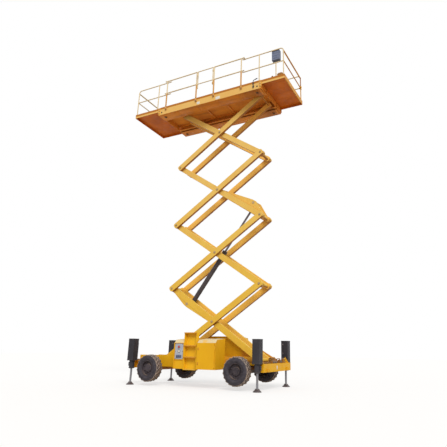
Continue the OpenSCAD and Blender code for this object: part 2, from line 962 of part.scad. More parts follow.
module rails_near() {
  color("gold")
    mirror([0, 1, 0]) {
      for (z = [mid_z, rail_z]) {
        bar_x(guide_rear, gate_rear, rail_y, z, rail_radius);
        bar_x(gate_front, guide_front, rail_y, z, rail_radius);
      }
      side_post(guide_rear + 85, post_radius);
      side_post(gate_rear, post_radius);
      side_post(gate_front, post_radius);
      side_post(guide_front - 100, post_radius);
      rail_guide(guide_rear + 20);
      rail_guide(guide_front - 20);
      for (z = [mid_z - 160, rail_z - 160])
        difference() {
          union() {
            block([gate_front - gate_gap, rail_y - 12, z], [gate_front, rail_y + 12, z + 50]);
            bar_z(gate_front - gate_gap, rail_y, z, z + 50, gate_tube + 9);
          }
          bar_z(gate_front - gate_gap, rail_y, z - 1, z + 51, gate_tube + 1);
        }
    }
}

module rails_far() {
  color("gold") {
    for (z = [mid_z, rail_z])
      bar_x(guide_rear, guide_front, rail_y, z, rail_radius);
    side_post(guide_rear + 85, post_radius);
    side_post(gate_rear, post_radius);
    side_post(gate_front, post_radius);
    side_post(guide_front - 100, post_radius);
    rail_guide(guide_rear + 20);
    rail_guide(guide_front - 20);
  }
}

module gate() {
  color("gold") {
    for (x = [gate_rear + gate_gap, gate_front - gate_gap])
      bar_z(x, -rail_y, mid_z - 190, rail_z, gate_tube);
    for (z = [mid_z, rail_z])
      bar_x(gate_rear + gate_gap, gate_front - gate_gap, -rail_y, z, gate_tube);
  }
}

// sliding deck that reaches from its outer end at zero along X
module sliding_deck() {
  block([0, -ext_half + 9, ext_floor], [extension_length, ext_half - 9, ext_floor + 10]);
  both_sides()
    block([0, ext_half - 10, ext_low], [extension_length, ext_half, skirt_top]);
  block([0, -ext_half, ext_low], [10, ext_half, skirt_top]);
  // runner strips on the main floor
  both_sides()
    block([extension_length - 160, floor_half - 90, floor_top + pin_clear],
      [extension_length, floor_half - 40, ext_floor + 1]);
}

// rail frame of a sliding deck, from its outer end at zero along X, bent down to its end posts
module sliding_rails(reach, post_at) {
  both_sides() {
    bar_x(end_post + rail_bend, reach, ext_rail_y, rail_z, slide_rail_radius);
    bar_x(end_post, reach, ext_rail_y, mid_z, slide_rail_radius);
    translate([end_post + rail_bend, ext_rail_y, rail_z - rail_bend])
      rotate([90, -90, 0])
        rotate_extrude(angle = 90)
          translate([rail_bend, 0])
            circle(r = slide_rail_radius);
    bar_z(end_post, ext_rail_y, ext_floor + 10, rail_z - rail_bend, slide_rail_radius);
    bar_z(post_at, ext_rail_y, ext_floor + 10, rail_z, slide_rail_radius);
  }
  bar_y(end_post, -ext_rail_y, ext_rail_y, mid_z, slide_rail_radius);
  bar_y(end_post, -ext_rail_y, ext_rail_y, rail_z - rail_bend, slide_rail_radius + 6);
}

module rear_deck() {
  color("goldenrod")
    translate([rear_end, 0, 0])
      sliding_deck();
}

module rear_rails() {
  color("gold")
    translate([rear_end, 0, 0])
      sliding_rails(rail_reach, rear_post);
}

module front_deck() {
  color("goldenrod")
    translate([front_end, 0, 0])
      mirror([1, 0, 0])
        sliding_deck();
}

module front_rails() {
  color("gold")
    translate([front_end, 0, 0])
      mirror([1, 0, 0]) {
        sliding_rails(rail_reach, front_post);
        bar_z(end_post + 267, -ext_rail_y, ext_floor + 10, mid_z, slide_rail_radius);
      }
}

module platform_box() {
  face = slide_rail_radius - ext_rail_y;
  color("slategray") {
    block([front_end - 465, face, mid_z + 145], [front_end - 195, face + 130, rail_z - 3]);
    for (x = [front_end - 440, front_end - 248])
      block([x, face, rail_z - 60], [x + 28, face + 12, rail_z + 10]);
  }
}

chassis_frame();
tie_lugs();
front_axle();
rear_axle();
jack_housings();
power_box();
power_door();
engine();
tank_box();
tank_door();
tank();
control_cabinet();
control_panel();
ladder();
valve_block();
knuckle_near();
knuckle_far();
tie_rod();
tyre_front_near();
rim_front_near();
tyre_front_far();
rim_front_far();
tyre_rear_near();
rim_rear_near();
tyre_rear_far();
rim_rear_far();
jack_rod_front_near();
jack_rod_front_far();
jack_rod_rear_near();
jack_rod_rear_far();
arm_b1();
arm_a1();
arm_a2();
arm_b2();
arm_b3();
arm_a3();
arm_a4();
arm_b4();
pins_a1();
pins_a2();
pins_a3();
pins_a4();
base_rollers();
deck_rollers();
lift_barrel();
lift_rod();
deck_frame();
deck_floor();
rails_near();
rails_far();
gate();
rear_deck();
rear_rails();
front_deck();
front_rails();
platform_box();
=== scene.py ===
# Looks of the scissor lift: the finish of every surface, its fittings, the light and the camera.
# Metres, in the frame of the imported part: +X towards the steered end, -Y is the ladder side.
import json
from itertools import product
from math import cos, pi, radians, sin, tau

import bmesh
import bpy
from mathutils import Matrix, Vector


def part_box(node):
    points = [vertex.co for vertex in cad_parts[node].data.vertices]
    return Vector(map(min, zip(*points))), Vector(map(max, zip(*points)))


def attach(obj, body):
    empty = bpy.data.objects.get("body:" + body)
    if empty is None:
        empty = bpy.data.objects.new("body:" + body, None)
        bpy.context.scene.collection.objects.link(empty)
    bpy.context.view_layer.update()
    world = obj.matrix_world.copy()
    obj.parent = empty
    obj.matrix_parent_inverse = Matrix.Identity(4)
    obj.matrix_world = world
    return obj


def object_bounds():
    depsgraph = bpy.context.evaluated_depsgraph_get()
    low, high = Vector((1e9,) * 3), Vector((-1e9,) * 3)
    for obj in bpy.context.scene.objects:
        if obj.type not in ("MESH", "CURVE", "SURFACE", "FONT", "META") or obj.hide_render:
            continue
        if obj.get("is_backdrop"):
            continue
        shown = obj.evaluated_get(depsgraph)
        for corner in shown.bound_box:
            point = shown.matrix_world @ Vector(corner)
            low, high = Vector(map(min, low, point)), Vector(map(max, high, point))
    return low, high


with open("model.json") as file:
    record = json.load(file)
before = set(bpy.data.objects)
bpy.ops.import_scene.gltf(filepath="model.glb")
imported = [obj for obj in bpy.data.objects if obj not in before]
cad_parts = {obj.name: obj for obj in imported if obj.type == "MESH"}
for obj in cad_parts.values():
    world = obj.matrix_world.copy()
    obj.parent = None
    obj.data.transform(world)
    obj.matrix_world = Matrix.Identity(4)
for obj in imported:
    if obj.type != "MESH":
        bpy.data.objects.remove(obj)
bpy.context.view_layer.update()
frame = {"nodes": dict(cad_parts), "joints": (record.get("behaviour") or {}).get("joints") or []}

scene = bpy.context.scene

# Places read from the frame
FLOOR_OVER_PIVOT = 0.125
RAIL_RADIUS, RAIL_GAP = 0.016, 0.518
nodes = frame["nodes"]
joint = {j["name"]: j for j in frame["joints"]}
BEAM_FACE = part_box("chassis_frame")[1].x
DECK_LOW, DECK_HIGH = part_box("deck_frame")
FLOOR_TOP = joint["deck_pivot"]["pos_m"][2] + FLOOR_OVER_PIVOT
LADDER_LOW, LADDER_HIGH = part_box("ladder")
PANEL_LOW, PANEL_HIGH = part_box("control_panel")
VALVE_LOW, VALVE_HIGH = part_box("valve_block")
EXT_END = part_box("front_deck")[1].x
BEAM_TOP = VALVE_LOW.z
PIVOT_X, PIVOT_Z = joint["lift"]["pos_m"][0], joint["lift"]["pos_m"][2]
SLIDE_X = joint["a2_tip"]["pos_m"][0]
RISE = joint["a2_tip"]["pos_m"][2] - PIVOT_Z
RAIL_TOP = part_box("gate")[1].z - RAIL_RADIUS
RAIL_MID = RAIL_TOP - RAIL_GAP

# Colours as they look in the photo, 0 to 255. A name in the plural holds two that are mixed
BODY_YELLOWS = (226, 172, 18), (208, 146, 16)
ARM_YELLOW = (225, 186, 64)
INNER_LIT_YELLOW = (246, 192, 92)
HIGH_LIT_YELLOW = (228, 191, 106)
SKIRT_YELLOWS = (226, 184, 106), (220, 166, 82)
GUIDE_YELLOW = (234, 172, 66)
END_SHADE_BROWNS = (216, 158, 62), (196, 134, 48)
BAY_SHADE_BROWNS = (210, 148, 38), (110, 70, 38)
LIT_TOP_CREAM = (214, 197, 156)
RAIL_CREAMS = (220, 202, 164), (200, 174, 130)
LOW_POST = (202, 146, 68)
CORNER_BROWNS = (158, 104, 50), (206, 154, 60)
EDGE_BROWN = (176, 110, 30)
CHIP_BROWN = (124, 94, 56)
# Rust brown with painted shade, for faces that look down; the darker one also for painted shade in hollows.
UNDER_RUST_SHADE = (208, 114, 36)
DARK_RUST_SHADE = (160, 82, 28)
# Rust brown with painted shade, under the main deck and the floor plate.
BELLY_RUST_SHADES = (222, 142, 48), (200, 122, 46)
MEMBER_LIT_BROWN = (216, 136, 48)
# Painted shade under the deck towards the front.
FRONT_SHADE = (104, 48, 16)
# Rust brown with painted shade, under the sliding decks.
SLIDE_RUST_SHADES = (206, 110, 18), (178, 89, 14)
VALVE_BROWNS = (116, 78, 34), (164, 112, 46)
GRIME = (122, 76, 36)
CHARCOAL = (44, 43, 49)
RUBBED_EDGE = (118, 112, 112)
RUBBERS = (51, 48, 55), (72, 68, 76)
GROOVE_SHADE = (30, 27, 28)
DUST = (176, 152, 134)
# Painted highlight along the lug edges.
LUG_EDGE_HIGHLIGHT = (222, 204, 186)
STEEL = (138, 137, 142)
OIL = (110, 98, 84)
FOOT_GREYS = (112, 102, 104), (84, 74, 72)
FLOOR_GREYS = (150, 138, 116), (112, 100, 82)
BRIGHT_BAR = (178, 172, 160)
PANEL_BLUE = (156, 164, 182)
BOX_BLUE = (94, 104, 132)
BLACK = (34, 32, 34)
RED = (176, 42, 36)
WHITE = (228, 227, 222)


def colour(rgb):
    """A photo colour as the linear colour that the shader takes."""
    out = []
    for c in rgb:
        c /= 255
        out.append(c / 12.92 if c < 0.04045 else ((c + 0.055) / 1.055) ** 2.4)
    return (*out, 1.0)


def lighter(rgb, share):
    return tuple(c + (255 - c) * share for c in rgb)


def new_node(tree, kind, sockets=(), **settings):
    """A node with its settings, and with a value or a link on each of the sockets."""
    node = tree.nodes.new("ShaderNode" + kind)
    for key, value in settings.items():
        setattr(node, key, value)
    for key, value in dict(sockets).items():
        if isinstance(value, bpy.types.NodeSocket):
            tree.links.new(value, node.inputs[key])
        else:
            node.inputs[key].default_value = value
    return node


class Finish:
    """One material: a Principled shader with its colour, roughness and bump made by nodes."""

    def __init__(self, name, metallic=0.0, specular=0.5):
        self.material = bpy.data.materials.new(name)
        self.material.use_nodes = True
        self.tree = self.material.node_tree
        self.shader = self.tree.nodes["Principled BSDF"]
        self.shader.inputs["Metallic"].default_value = metallic
        self.shader.inputs["Specular IOR Level"].default_value = specular
        where = self.add("TexCoord")
        self.place = where.outputs["Object"]
        self.facing = where.outputs["Normal"]

    def add(self, kind, sockets=(), **settings):
        return new_node(self.tree, kind, sockets, **settings)

    def stretch(self, scale=(1, 1, 1), shift=(0, 0, 0), turn=0.0):
        sockets = {"Vector": self.place, "Scale": scale, "Location": shift, "Rotation": (0, 0, turn)}
        return self.add("Mapping", sockets).outputs["Vector"]

    def noise(self, scale, detail, where=None):
        sockets = {"Vector": where or self.place, "Scale": scale, "Detail": detail}
        return self.add("TexNoise", sockets).outputs["Fac"]

    def ramp(self, value, low, high, top=1.0):
        """0 at low, top at high, straight between them."""
        sockets = {"Value": value, "From Min": low, "From Max": high, "To Max": top}
        return self.add("MapRange", sockets).outputs["Result"]

    def math(self, operation, a, b=0.0):
        return self.add("Math", {0: a, 1: b}, operation=operation).outputs[0]

    def both(self, *masks):
        """1 only where every mask is 1."""
        out = masks[0]
        for mask in masks[1:]:
            out = self.math("MULTIPLY", out, mask)
        return out

    def mix(self, factor, a, b):
        """a where the factor is 0 and b where it is 1. Each is a photo colour or a socket."""
        a, b = (c if isinstance(c, bpy.types.NodeSocket) else colour(c) for c in (a, b))
        return self.add("Mix", {"Factor": factor, 6: a, 7: b}, data_type="RGBA").outputs[2]

    def part(self, vector, axis):
        return self.add("SeparateXYZ", {0: vector}).outputs[axis]

    def at(self, axis):
        return self.part(self.place, axis)

    def up(self):
        """1 on faces that look up, -1 on faces that look down."""
        return self.part(self.facing, "Z")

    def down(self):
        """1 on faces that look down, 0 on the others."""
        return self.ramp(self.up(), -0.5, -0.7)

    def off_middle(self):
        """Distance from the middle plane of the machine."""
        return self.math("ABSOLUTE", self.at("Y"))

    def inside(self, outside):
        """1 within the outer faces that lie that far from the middle plane."""
        return self.ramp(self.off_middle(), outside - 0.004, outside - 0.006)

    def blotched(self, scale, detail, one, two, low=0.35, high=0.65):
        """One photo colour with blotches of another."""
        return self.mix(self.ramp(self.noise(scale, detail), low, high), one, two)

    def dullness(self, scale, detail, spread, least):
        """Roughness that varies from least by up to spread."""
        return self.math("ADD", self.ramp(self.noise(scale, detail), 0.3, 0.7, spread), least)

    def shade_in_hollows(self, distance, top):
        """Painted shade: top deep in corners, 0 on open faces."""
        shade = self.add("AmbientOcclusion", {"Distance": distance}, samples=8)
        return self.ramp(shade.outputs["AO"], 0.75, 0.25, top)

    def edges(self, radius):
        """1 along sharp edges, 0 on open faces, and the normal rounded over those edges."""
        normal = self.add("Bevel", {"Radius": radius}, samples=6).outputs[0]
        plain = self.add("NewGeometry").outputs["Normal"]
        dot = self.add("VectorMath", {0: normal, 1: plain}, operation="DOT_PRODUCT")
        return self.ramp(dot.outputs["Value"], 0.99, 0.86), normal

    def bump(self, height, strength, distance, normal=None):
        sockets = {"Strength": strength, "Distance": distance, "Height": height}
        if normal is not None:
            sockets["Normal"] = normal
        return self.add("Bump", sockets).outputs["Normal"]

    def rust_and_shade(self, light, dark):
        """Blotched rust brown with streaks along the machine; the colours it is given also carry painted
        shade.
        """
        skin = self.blotched(2.3, 6, light, dark, high=0.7)
        streak = self.ramp(self.noise(1.0, 5, self.stretch((0.6, 7, 7))), 0.5, 0.75, 0.4)
        return self.mix(streak, skin, GRIME)

    def made(self, skin, dull, normal):
        """The material, with what these three give on its shader."""
        for name, value in (("Base Color", skin), ("Roughness", dull), ("Normal", normal)):
            self.tree.links.new(value, self.shader.inputs[name])
        return self.material


# Zones of the painted frames: each gives a mask and a colour
# The arms turn paler between these heights, as painted light.
LIT_HIGH_FROM, LIT_HIGH_TO = 2.0, 7.0
BAND, GUIDE_WIDTH, MEMBER_WIDTH = 0.085, 0.1, 0.12
SKIRT_Y, EXT_Y, CORNER_Y = 0.894, 0.874, 0.82
# The painted shade under the deck grows between these distances ahead.
SHADE_FROM, SHADE_TO = 1.2, 1.9
BAY_Y, BAY_FROM, BAY_TO, BAY_HIGH, BAY_LOW = 0.552, 0.95, 2.3, 0.8, 0.68


def top_band(f):
    """Brown edge along the top of the skirts."""
    return f.ramp(f.at("Z"), DECK_HIGH.z - BAND, DECK_HIGH.z - BAND + 0.004), EDGE_BROWN


def under_deck(outside, light, dark):
    """Rust brown with painted shade inside the outer faces, on all that lies below the floor or looks down.
    """
    def zone(f):
        inside = f.inside(outside)
        below = f.ramp(f.at("Z"), FLOOR_TOP + 0.004, FLOOR_TOP)
        return f.both(inside, f.math("MAXIMUM", below, f.down())), f.rust_and_shade(light, dark)
    return zone


def deck_top(f):
    """Worn floor on the faces of a sliding deck that look up."""
    inside = f.inside(EXT_Y - 0.006)
    wear_and_lit_top = f.blotched(3, 6, *FLOOR_GREYS)
    return f.both(inside, f.ramp(f.up(), 0.5, 0.7)), wear_and_lit_top


def front_end(f):
    """1 at the outer end of the front deck."""
    return f.ramp(f.at("X"), EXT_END - 0.075, EXT_END - 0.065)


def deck_end(f):
    """Painted shade in brown on the end plate and end rails of the front deck, between its corner posts."""
    between = f.ramp(f.off_middle(), CORNER_Y + 0.005, CORNER_Y)
    brown = f.blotched(5, 4, *END_SHADE_BROWNS)
    return f.both(between, front_end(f)), brown


def far_corner(f):
    """Dark brown on the far corner post of the front deck, deep yellow below its middle rail."""
    post = f.both(front_end(f), f.ramp(f.at("Y"), CORNER_Y - 0.02, CORNER_Y))
    low = f.ramp(f.at("Z"), RAIL_MID + 0.05, RAIL_MID)
    return post, f.mix(low, *CORNER_BROWNS)


def front_shade(f):
    """Painted shade that darkens the rust towards the front on faces under the deck that look down."""
    return f.both(f.inside(SKIRT_Y), f.down(), f.ramp(f.at("X"), SHADE_FROM, SHADE_TO, 0.5)), FRONT_SHADE


def guide_plates(f):
    """Stronger yellow on the plates at the ends of the skirts that guide the sliding decks."""
    away = f.math("ABSOLUTE", f.math("SUBTRACT", f.at("X"), (DECK_LOW.x + DECK_HIGH.x) / 2))
    start = (DECK_HIGH.x - DECK_LOW.x) / 2 - GUIDE_WIDTH
    outside = f.ramp(f.off_middle(), SKIRT_Y - 0.01, SKIRT_Y)
    return f.both(f.ramp(away, start, start + 0.005, 0.7), outside), GUIDE_YELLOW


def front_frame(f):
    """Lighter brown on the front cross member of the deck frame, painted light that lifts its shade."""
    start = DECK_HIGH.x - MEMBER_WIDTH
    return f.both(f.inside(SKIRT_Y), f.ramp(f.at("X"), start, start + 0.01)), MEMBER_LIT_BROWN


def chassis_front(f):
    """Painted shade between the side members ahead of the boxes, darker towards the axle."""
    inside = f.ramp(f.off_middle(), BAY_Y, BAY_Y - 0.006)
    ahead = f.both(f.ramp(f.at("X"), BAY_FROM, BAY_FROM + 0.1), f.ramp(f.at("X"), BAY_TO, BAY_TO - 0.03))
    low = f.ramp(f.at("Z"), BAY_HIGH, BAY_LOW)
    return f.both(inside, ahead), f.mix(low, *BAY_SHADE_BROWNS)


def inner_faces(f):
    """Painted light: lighter, warmer paint on the faces of the arms that look at each other, lifting the
    shade that falls between them.
    """
    inward = f.math("MULTIPLY", f.at("Y"), f.part(f.facing, "Y"))
    return f.ramp(inward, -0.05, -0.12, 0.6), INNER_LIT_YELLOW


def low_posts(f):
    """Deeper yellow on the stout lower half of the posts."""
    return f.ramp(f.at("Z"), RAIL_MID - 0.022, RAIL_MID - 0.03, 0.9), LOW_POST


def paint(name, base, shade, under=None, lower=DARK_RUST_SHADE, lit_high=None, top=None,
        zones=(), gloss=0.42, wear=0.6, hollow_shade=0.4):
    """Weathered paint: streaks, blotches, painted shade in corners and bare edges.
    under colours faces that look down rust brown with painted shade, top paints a highlight on those that
    look up, and the height colour turns the high arms paler as painted light."""
    f = Finish(name, specular=0.25)
    skin = base
    # Paler with height, as painted light on the high arms.
    if lit_high:
        skin = f.mix(f.ramp(f.at("Z"), LIT_HIGH_FROM, LIT_HIGH_TO), skin, lit_high)
    skin = f.mix(f.ramp(f.noise(1.7, 5), 0.38, 0.68, 0.34), skin, shade)
    skin = f.mix(f.ramp(f.noise(1.0, 4, f.stretch((9, 9, 0.7))), 0.52, 0.78, 0.3), skin, shade)
    # Faces that look up: a painted highlight, blotched with the base colour.
    if top:
        wear_and_lit_top = f.blotched(6, 5, top, base, 0.55, 0.8)
        skin = f.mix(f.ramp(f.up(), 0.25, 0.6), skin, wear_and_lit_top)
    if under:
        # Faces that look down: rust brown with painted shade.
        skin = f.mix(f.ramp(f.up(), -0.35, -0.7), skin, f.rust_and_shade(under, lower))
    for zone in zones:
        where, tint = zone(f)
        skin = f.mix(where, skin, tint)
    # Painted shade in corners and hollows, in dark rust brown.
    skin = f.mix(f.shade_in_hollows(0.16, hollow_shade), skin, DARK_RUST_SHADE)
    edge, rounded = f.edges(0.006)
    chips = f.both(edge, f.ramp(f.noise(34, 4), 0.55, 0.66, wear))
    skin = f.mix(chips, skin, CHIP_BROWN)
    peel = f.bump(f.noise(190, 2), 0.05, 0.002, rounded)
    return f.made(skin, f.dullness(7, 4, 0.22, gloss), peel)


def deck_paint(name, *zones):
    """Paint of the skirts, with rust, painted shade, painted light and worn places by zones."""
    return paint(name, *SKIRT_YELLOWS, under=UNDER_RUST_SHADE, zones=(top_band, *zones), hollow_shade=0.1)


def tube_paint(name, *zones):
    """Paint of the guard rails."""
    return paint(name, *RAIL_CREAMS, zones=zones, wear=0.3, hollow_shade=0.1)


def dark_paint(name, base, light, gloss=0.45, specular=0.35, above=None):
    """Dark paint with dust on what looks up and rubbed edges. It is black above the height above."""
    f = Finish(name, specular=specular)
    skin = f.blotched(3.0, 5, base, light, high=0.7)
    if above:
        skin = f.mix(f.ramp(f.at("Z"), above, above + 0.03), skin, CHARCOAL)
    dusty = f.both(f.ramp(f.up(), 0.2, 0.9), f.ramp(f.noise(9, 5), 0.3, 0.7, 0.5))
    skin = f.mix(dusty, skin, DUST)
    edge, rounded = f.edges(0.005)
    skin = f.mix(f.both(edge, f.ramp(f.noise(26, 4), 0.45, 0.62, 0.6)), skin, RUBBED_EDGE)
    peel = f.bump(f.noise(150, 2), 0.06, 0.002, rounded)
    return f.made(skin, f.dullness(12, 3, 0.25, gloss), peel)


FOOT_TOP = 0.075


def steel(name, base, rough=0.26, foot=False):
    """Turned or rolled steel with fine scratches and oily patches, and a browned foot on a jack rod."""
    f = Finish(name, metallic=0.7)
    grain = f.noise(60, 3, f.stretch((1, 1, 6)))
    skin = f.mix(f.ramp(grain, 0.35, 0.7), base, [c * 0.88 for c in base])
    skin = f.mix(f.ramp(f.noise(5, 5), 0.55, 0.75, 0.5), skin, OIL)
    if foot:
        dirty = f.blotched(20, 5, *FOOT_GREYS)
        skin = f.mix(f.ramp(f.at("Z"), FOOT_TOP + 0.006, FOOT_TOP), skin, dirty)
    scratches = f.bump(grain, 0.08, 0.001, f.edges(0.003)[1])
    return f.made(skin, f.dullness(16, 4, 0.25, rough), scratches)


CROWN, LUG_TOP = 0.345, 0.38
RINGS_TURN = 420.0  # radians of a wave per metre


def tyre_rubber(name, centre):
    """Rubber with moulded rings on the wall, pale dust on the lugs, a painted highlight along the lug edges
    and painted shade in the grooves, of a wheel round that centre.
    """
    f = Finish(name, specular=0.25)
    from_axle = f.stretch((1, 0, 1), (-centre.x, 0, -centre.z))
    radius = f.add("VectorMath", {0: from_axle}, operation="LENGTH").outputs["Value"]
    rings = f.math("SINE", f.math("MULTIPLY", radius, RINGS_TURN))
    wall = f.ramp(radius, CROWN, CROWN - 0.02)
    skin = f.blotched(11, 5, *RUBBERS, high=0.7)
    dust = f.both(f.ramp(radius, CROWN, LUG_TOP), f.ramp(f.noise(14, 6), 0.3, 0.6, 0.5))
    skin = f.mix(dust, skin, DUST)
    edge, rounded = f.edges(0.012)
    # Painted highlight in pale beige along the lug edges.
    skin = f.mix(f.both(edge, f.ramp(radius, CROWN, CROWN + 0.02, 0.95)), skin, LUG_EDGE_HIGHLIGHT)
    # Painted shade deep in the grooves.
    skin = f.mix(f.shade_in_hollows(0.05, 0.7), skin, GROOVE_SHADE)
    ridges = f.bump(f.both(rings, wall), 0.35, 0.004, rounded)
    grain = f.bump(f.noise(240, 2), 0.12, 0.001, ridges)
    return f.made(skin, f.ramp(f.noise(9, 3), -0.6, 1.0), grain)


BARS_TURN = 105.0  # radians of a wave per metre


def tread_plate(name):
    """Worn floor plate: crossed raised bars above, rust brown paint with painted shade below."""
    f = Finish(name, specular=0.25)
    sets = []
    for turn in (45, -45):
        place = f.stretch(turn=radians(turn))
        along, across = (f.math("SINE", f.math("MULTIPLY", f.part(place, axis), BARS_TURN)) for axis in "XY")
        sets.append(f.ramp(f.both(along, f.math("POWER", across, 2.0)), 0.35, 0.6))
    bars = f.math("MAXIMUM", *sets)
    skin = f.blotched(3, 6, *FLOOR_GREYS)
    skin = f.mix(f.math("MULTIPLY", bars, 0.5), skin, BRIGHT_BAR)
    skin = f.mix(f.ramp(f.up(), 0.3, 0.0), skin, f.rust_and_shade(*BELLY_RUST_SHADES))
    dull = f.ramp(f.noise(10, 4), -0.8, 1.0)
    return f.made(skin, dull, f.bump(bars, 0.5, 0.003))


def plastic(name, base, light, rough=0.5):
    """Moulded plastic or enamel with a fine grain, slight blotches and painted shade in its corners."""
    f = Finish(name, specular=0.4)
    skin = f.blotched(8, 5, base, light, 0.3, 0.7)
    # Painted shade in corners, in black.
    skin = f.mix(f.shade_in_hollows(0.05, 0.5), skin, BLACK)
    grain = f.bump(f.noise(320, 2), 0.1, 0.001, f.edges(0.003)[1])
    return f.made(skin, f.dullness(20, 3, 0.15, rough), grain)


body_paint = paint("body_paint", *BODY_YELLOWS, under=UNDER_RUST_SHADE)
frame_paint = paint("frame_paint", *BODY_YELLOWS, under=UNDER_RUST_SHADE, zones=(chassis_front,))
# The hood's faces that look up take a painted highlight in cream.
hood_paint = paint("hood_paint", *BODY_YELLOWS, under=UNDER_RUST_SHADE, top=LIT_TOP_CREAM, hollow_shade=0.3)
# Lighter than the body paint, as painted light that lifts the shade the treads cast in the ladder's bays.
ladder_paint = paint("ladder_paint", (236, 186, 30), (222, 166, 26), top=LIT_TOP_CREAM, hollow_shade=0.06)
# Darker brown as painted shade under the tread lips; the door latches take it too.
step_paint = paint("step_paint", (208, 146, 36), (180, 118, 34), top=(214, 170, 70), hollow_shade=0.1)
# Under the arms, rust brown and darker brown as painted shade; the high arms paler and the inner faces
# lighter as painted light.
arm_paint = paint("arm_paint", ARM_YELLOW, (214, 158, 58), under=(186, 124, 54), lower=(150, 92, 44),
    lit_high=HIGH_LIT_YELLOW, zones=(inner_faces,))
under_main = under_deck(SKIRT_Y, *BELLY_RUST_SHADES)
under_slide = under_deck(EXT_Y, *SLIDE_RUST_SHADES)
skirt_paint = deck_paint("skirt_paint", under_main, front_shade, guide_plates, front_frame)
slide_paint = deck_paint("slide_paint", under_slide, deck_top)
end_paint = deck_paint("end_paint", under_slide, deck_top, deck_end)
rail_paint = tube_paint("rail_paint", low_posts)
slide_rail_paint = tube_paint("slide_rail_paint")
end_rail_paint = tube_paint("end_rail_paint", deck_end, far_corner)
jack_paint = dark_paint("jack_paint", CHARCOAL, (58, 56, 62), 0.5, 0.25)
axle_paint = dark_paint("axle_paint", (52, 44, 40), (84, 68, 54), 0.55)
stop_paint = dark_paint("stop_paint", (86, 52, 26), (112, 70, 36), 0.55)
rear_axle_paint = dark_paint("rear_axle_paint", (158, 104, 34), (196, 138, 42), 0.55)
rim_paint = dark_paint("rim_paint", (50, 45, 51), (74, 67, 74), 0.5, 0.25)
pin_paint = dark_paint("pin_paint", (164, 138, 98), (190, 162, 120), 0.4)
ram_paint = dark_paint("ram_paint", (56, 50, 54), (80, 73, 76), 0.35)
valve_paint = dark_paint("valve_paint", *VALVE_BROWNS)
pipe_paint = dark_paint("pipe_paint", *VALVE_BROWNS, above=BEAM_TOP + 0.06)
tank_paint = dark_paint("tank_paint", (92, 92, 96), (120, 120, 124))
rod_steel = steel("rod_steel", STEEL, foot=True)
dull_steel = steel("dull_steel", (128, 121, 120), 0.4)
ram_steel = steel("ram_steel", (112, 105, 110), 0.3)
floor_plate = tread_plate("floor_plate")
panel_plate = plastic("panel_plate", PANEL_BLUE, lighter(PANEL_BLUE, 0.2))
box_plastic = plastic("box_plastic", BOX_BLUE, lighter(BOX_BLUE, 0.12))
black_plastic = plastic("black_plastic", BLACK, (58, 56, 60), 0.4)
switch_plastic = plastic("switch_plastic", (78, 86, 116), (96, 104, 134), 0.4)
red_plastic = plastic("red_plastic", RED, lighter(RED, 0.2), 0.3)
white_plate = plastic("white_plate", WHITE, (206, 204, 198), 0.45)

# Finish of the solids
finish_of = {name: finish for finish, names in (
    (frame_paint, "chassis_frame"), (body_paint, "tie_lugs power_door tank_door"), (ladder_paint, "ladder"),
    (hood_paint, "power_box tank_box control_cabinet"), (panel_plate, "control_panel"),
    (axle_paint, "front_axle engine knuckle_near knuckle_far"), (rear_axle_paint, "rear_axle"),
    (jack_paint, "jack_housings"), (tank_paint, "tank"), (valve_paint, "valve_block"),
    (dull_steel, "tie_rod base_rollers deck_rollers"), (ram_paint, "lift_barrel"), (ram_steel, "lift_rod"),
    (skirt_paint, "deck_frame"), (slide_paint, "rear_deck"), (end_paint, "front_deck"),
    (floor_plate, "deck_floor"), (rail_paint, "rails_near rails_far"), (slide_rail_paint, "gate rear_rails"),
    (end_rail_paint, "front_rails"), (box_plastic, "platform_box"),
) for name in names.split()}
LEVELS = (1, 2, 3, 4)
for level in LEVELS:
    for side in "ab":
        finish_of[f"arm_{side}{level}"] = arm_paint
    finish_of[f"pins_a{level}"] = pin_paint
WHEELS = [(end, side) for end in ("front", "rear") for side in ("near", "far")]
for end, side in WHEELS:
    low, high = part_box(f"tyre_{end}_{side}")
    finish_of[f"tyre_{end}_{side}"] = tyre_rubber(f"tyre_rubber_{end}_{side}", (low + high) / 2)
    finish_of[f"rim_{end}_{side}"] = rim_paint
    finish_of[f"jack_rod_{end}_{side}"] = rod_steel

SMOOTH = radians(32)


def smooth_by_angle(mesh):
    mesh.shade_smooth()
    mesh.set_sharp_from_angle(angle=SMOOTH)


for name, node in nodes.items():
    node.data.materials.clear()
    node.data.materials.append(finish_of[name])
    smooth_by_angle(node.data)

# Directions in the part's frame
AHEAD, FAR, UP = Vector((1, 0, 0)), Vector((0, 1, 0)), Vector((0, 0, 1))
NEAR, DOWN = -FAR, -UP


def add_object(name, data):
    thing = bpy.data.objects.new(name, data)
    scene.collection.objects.link(thing)
    return thing


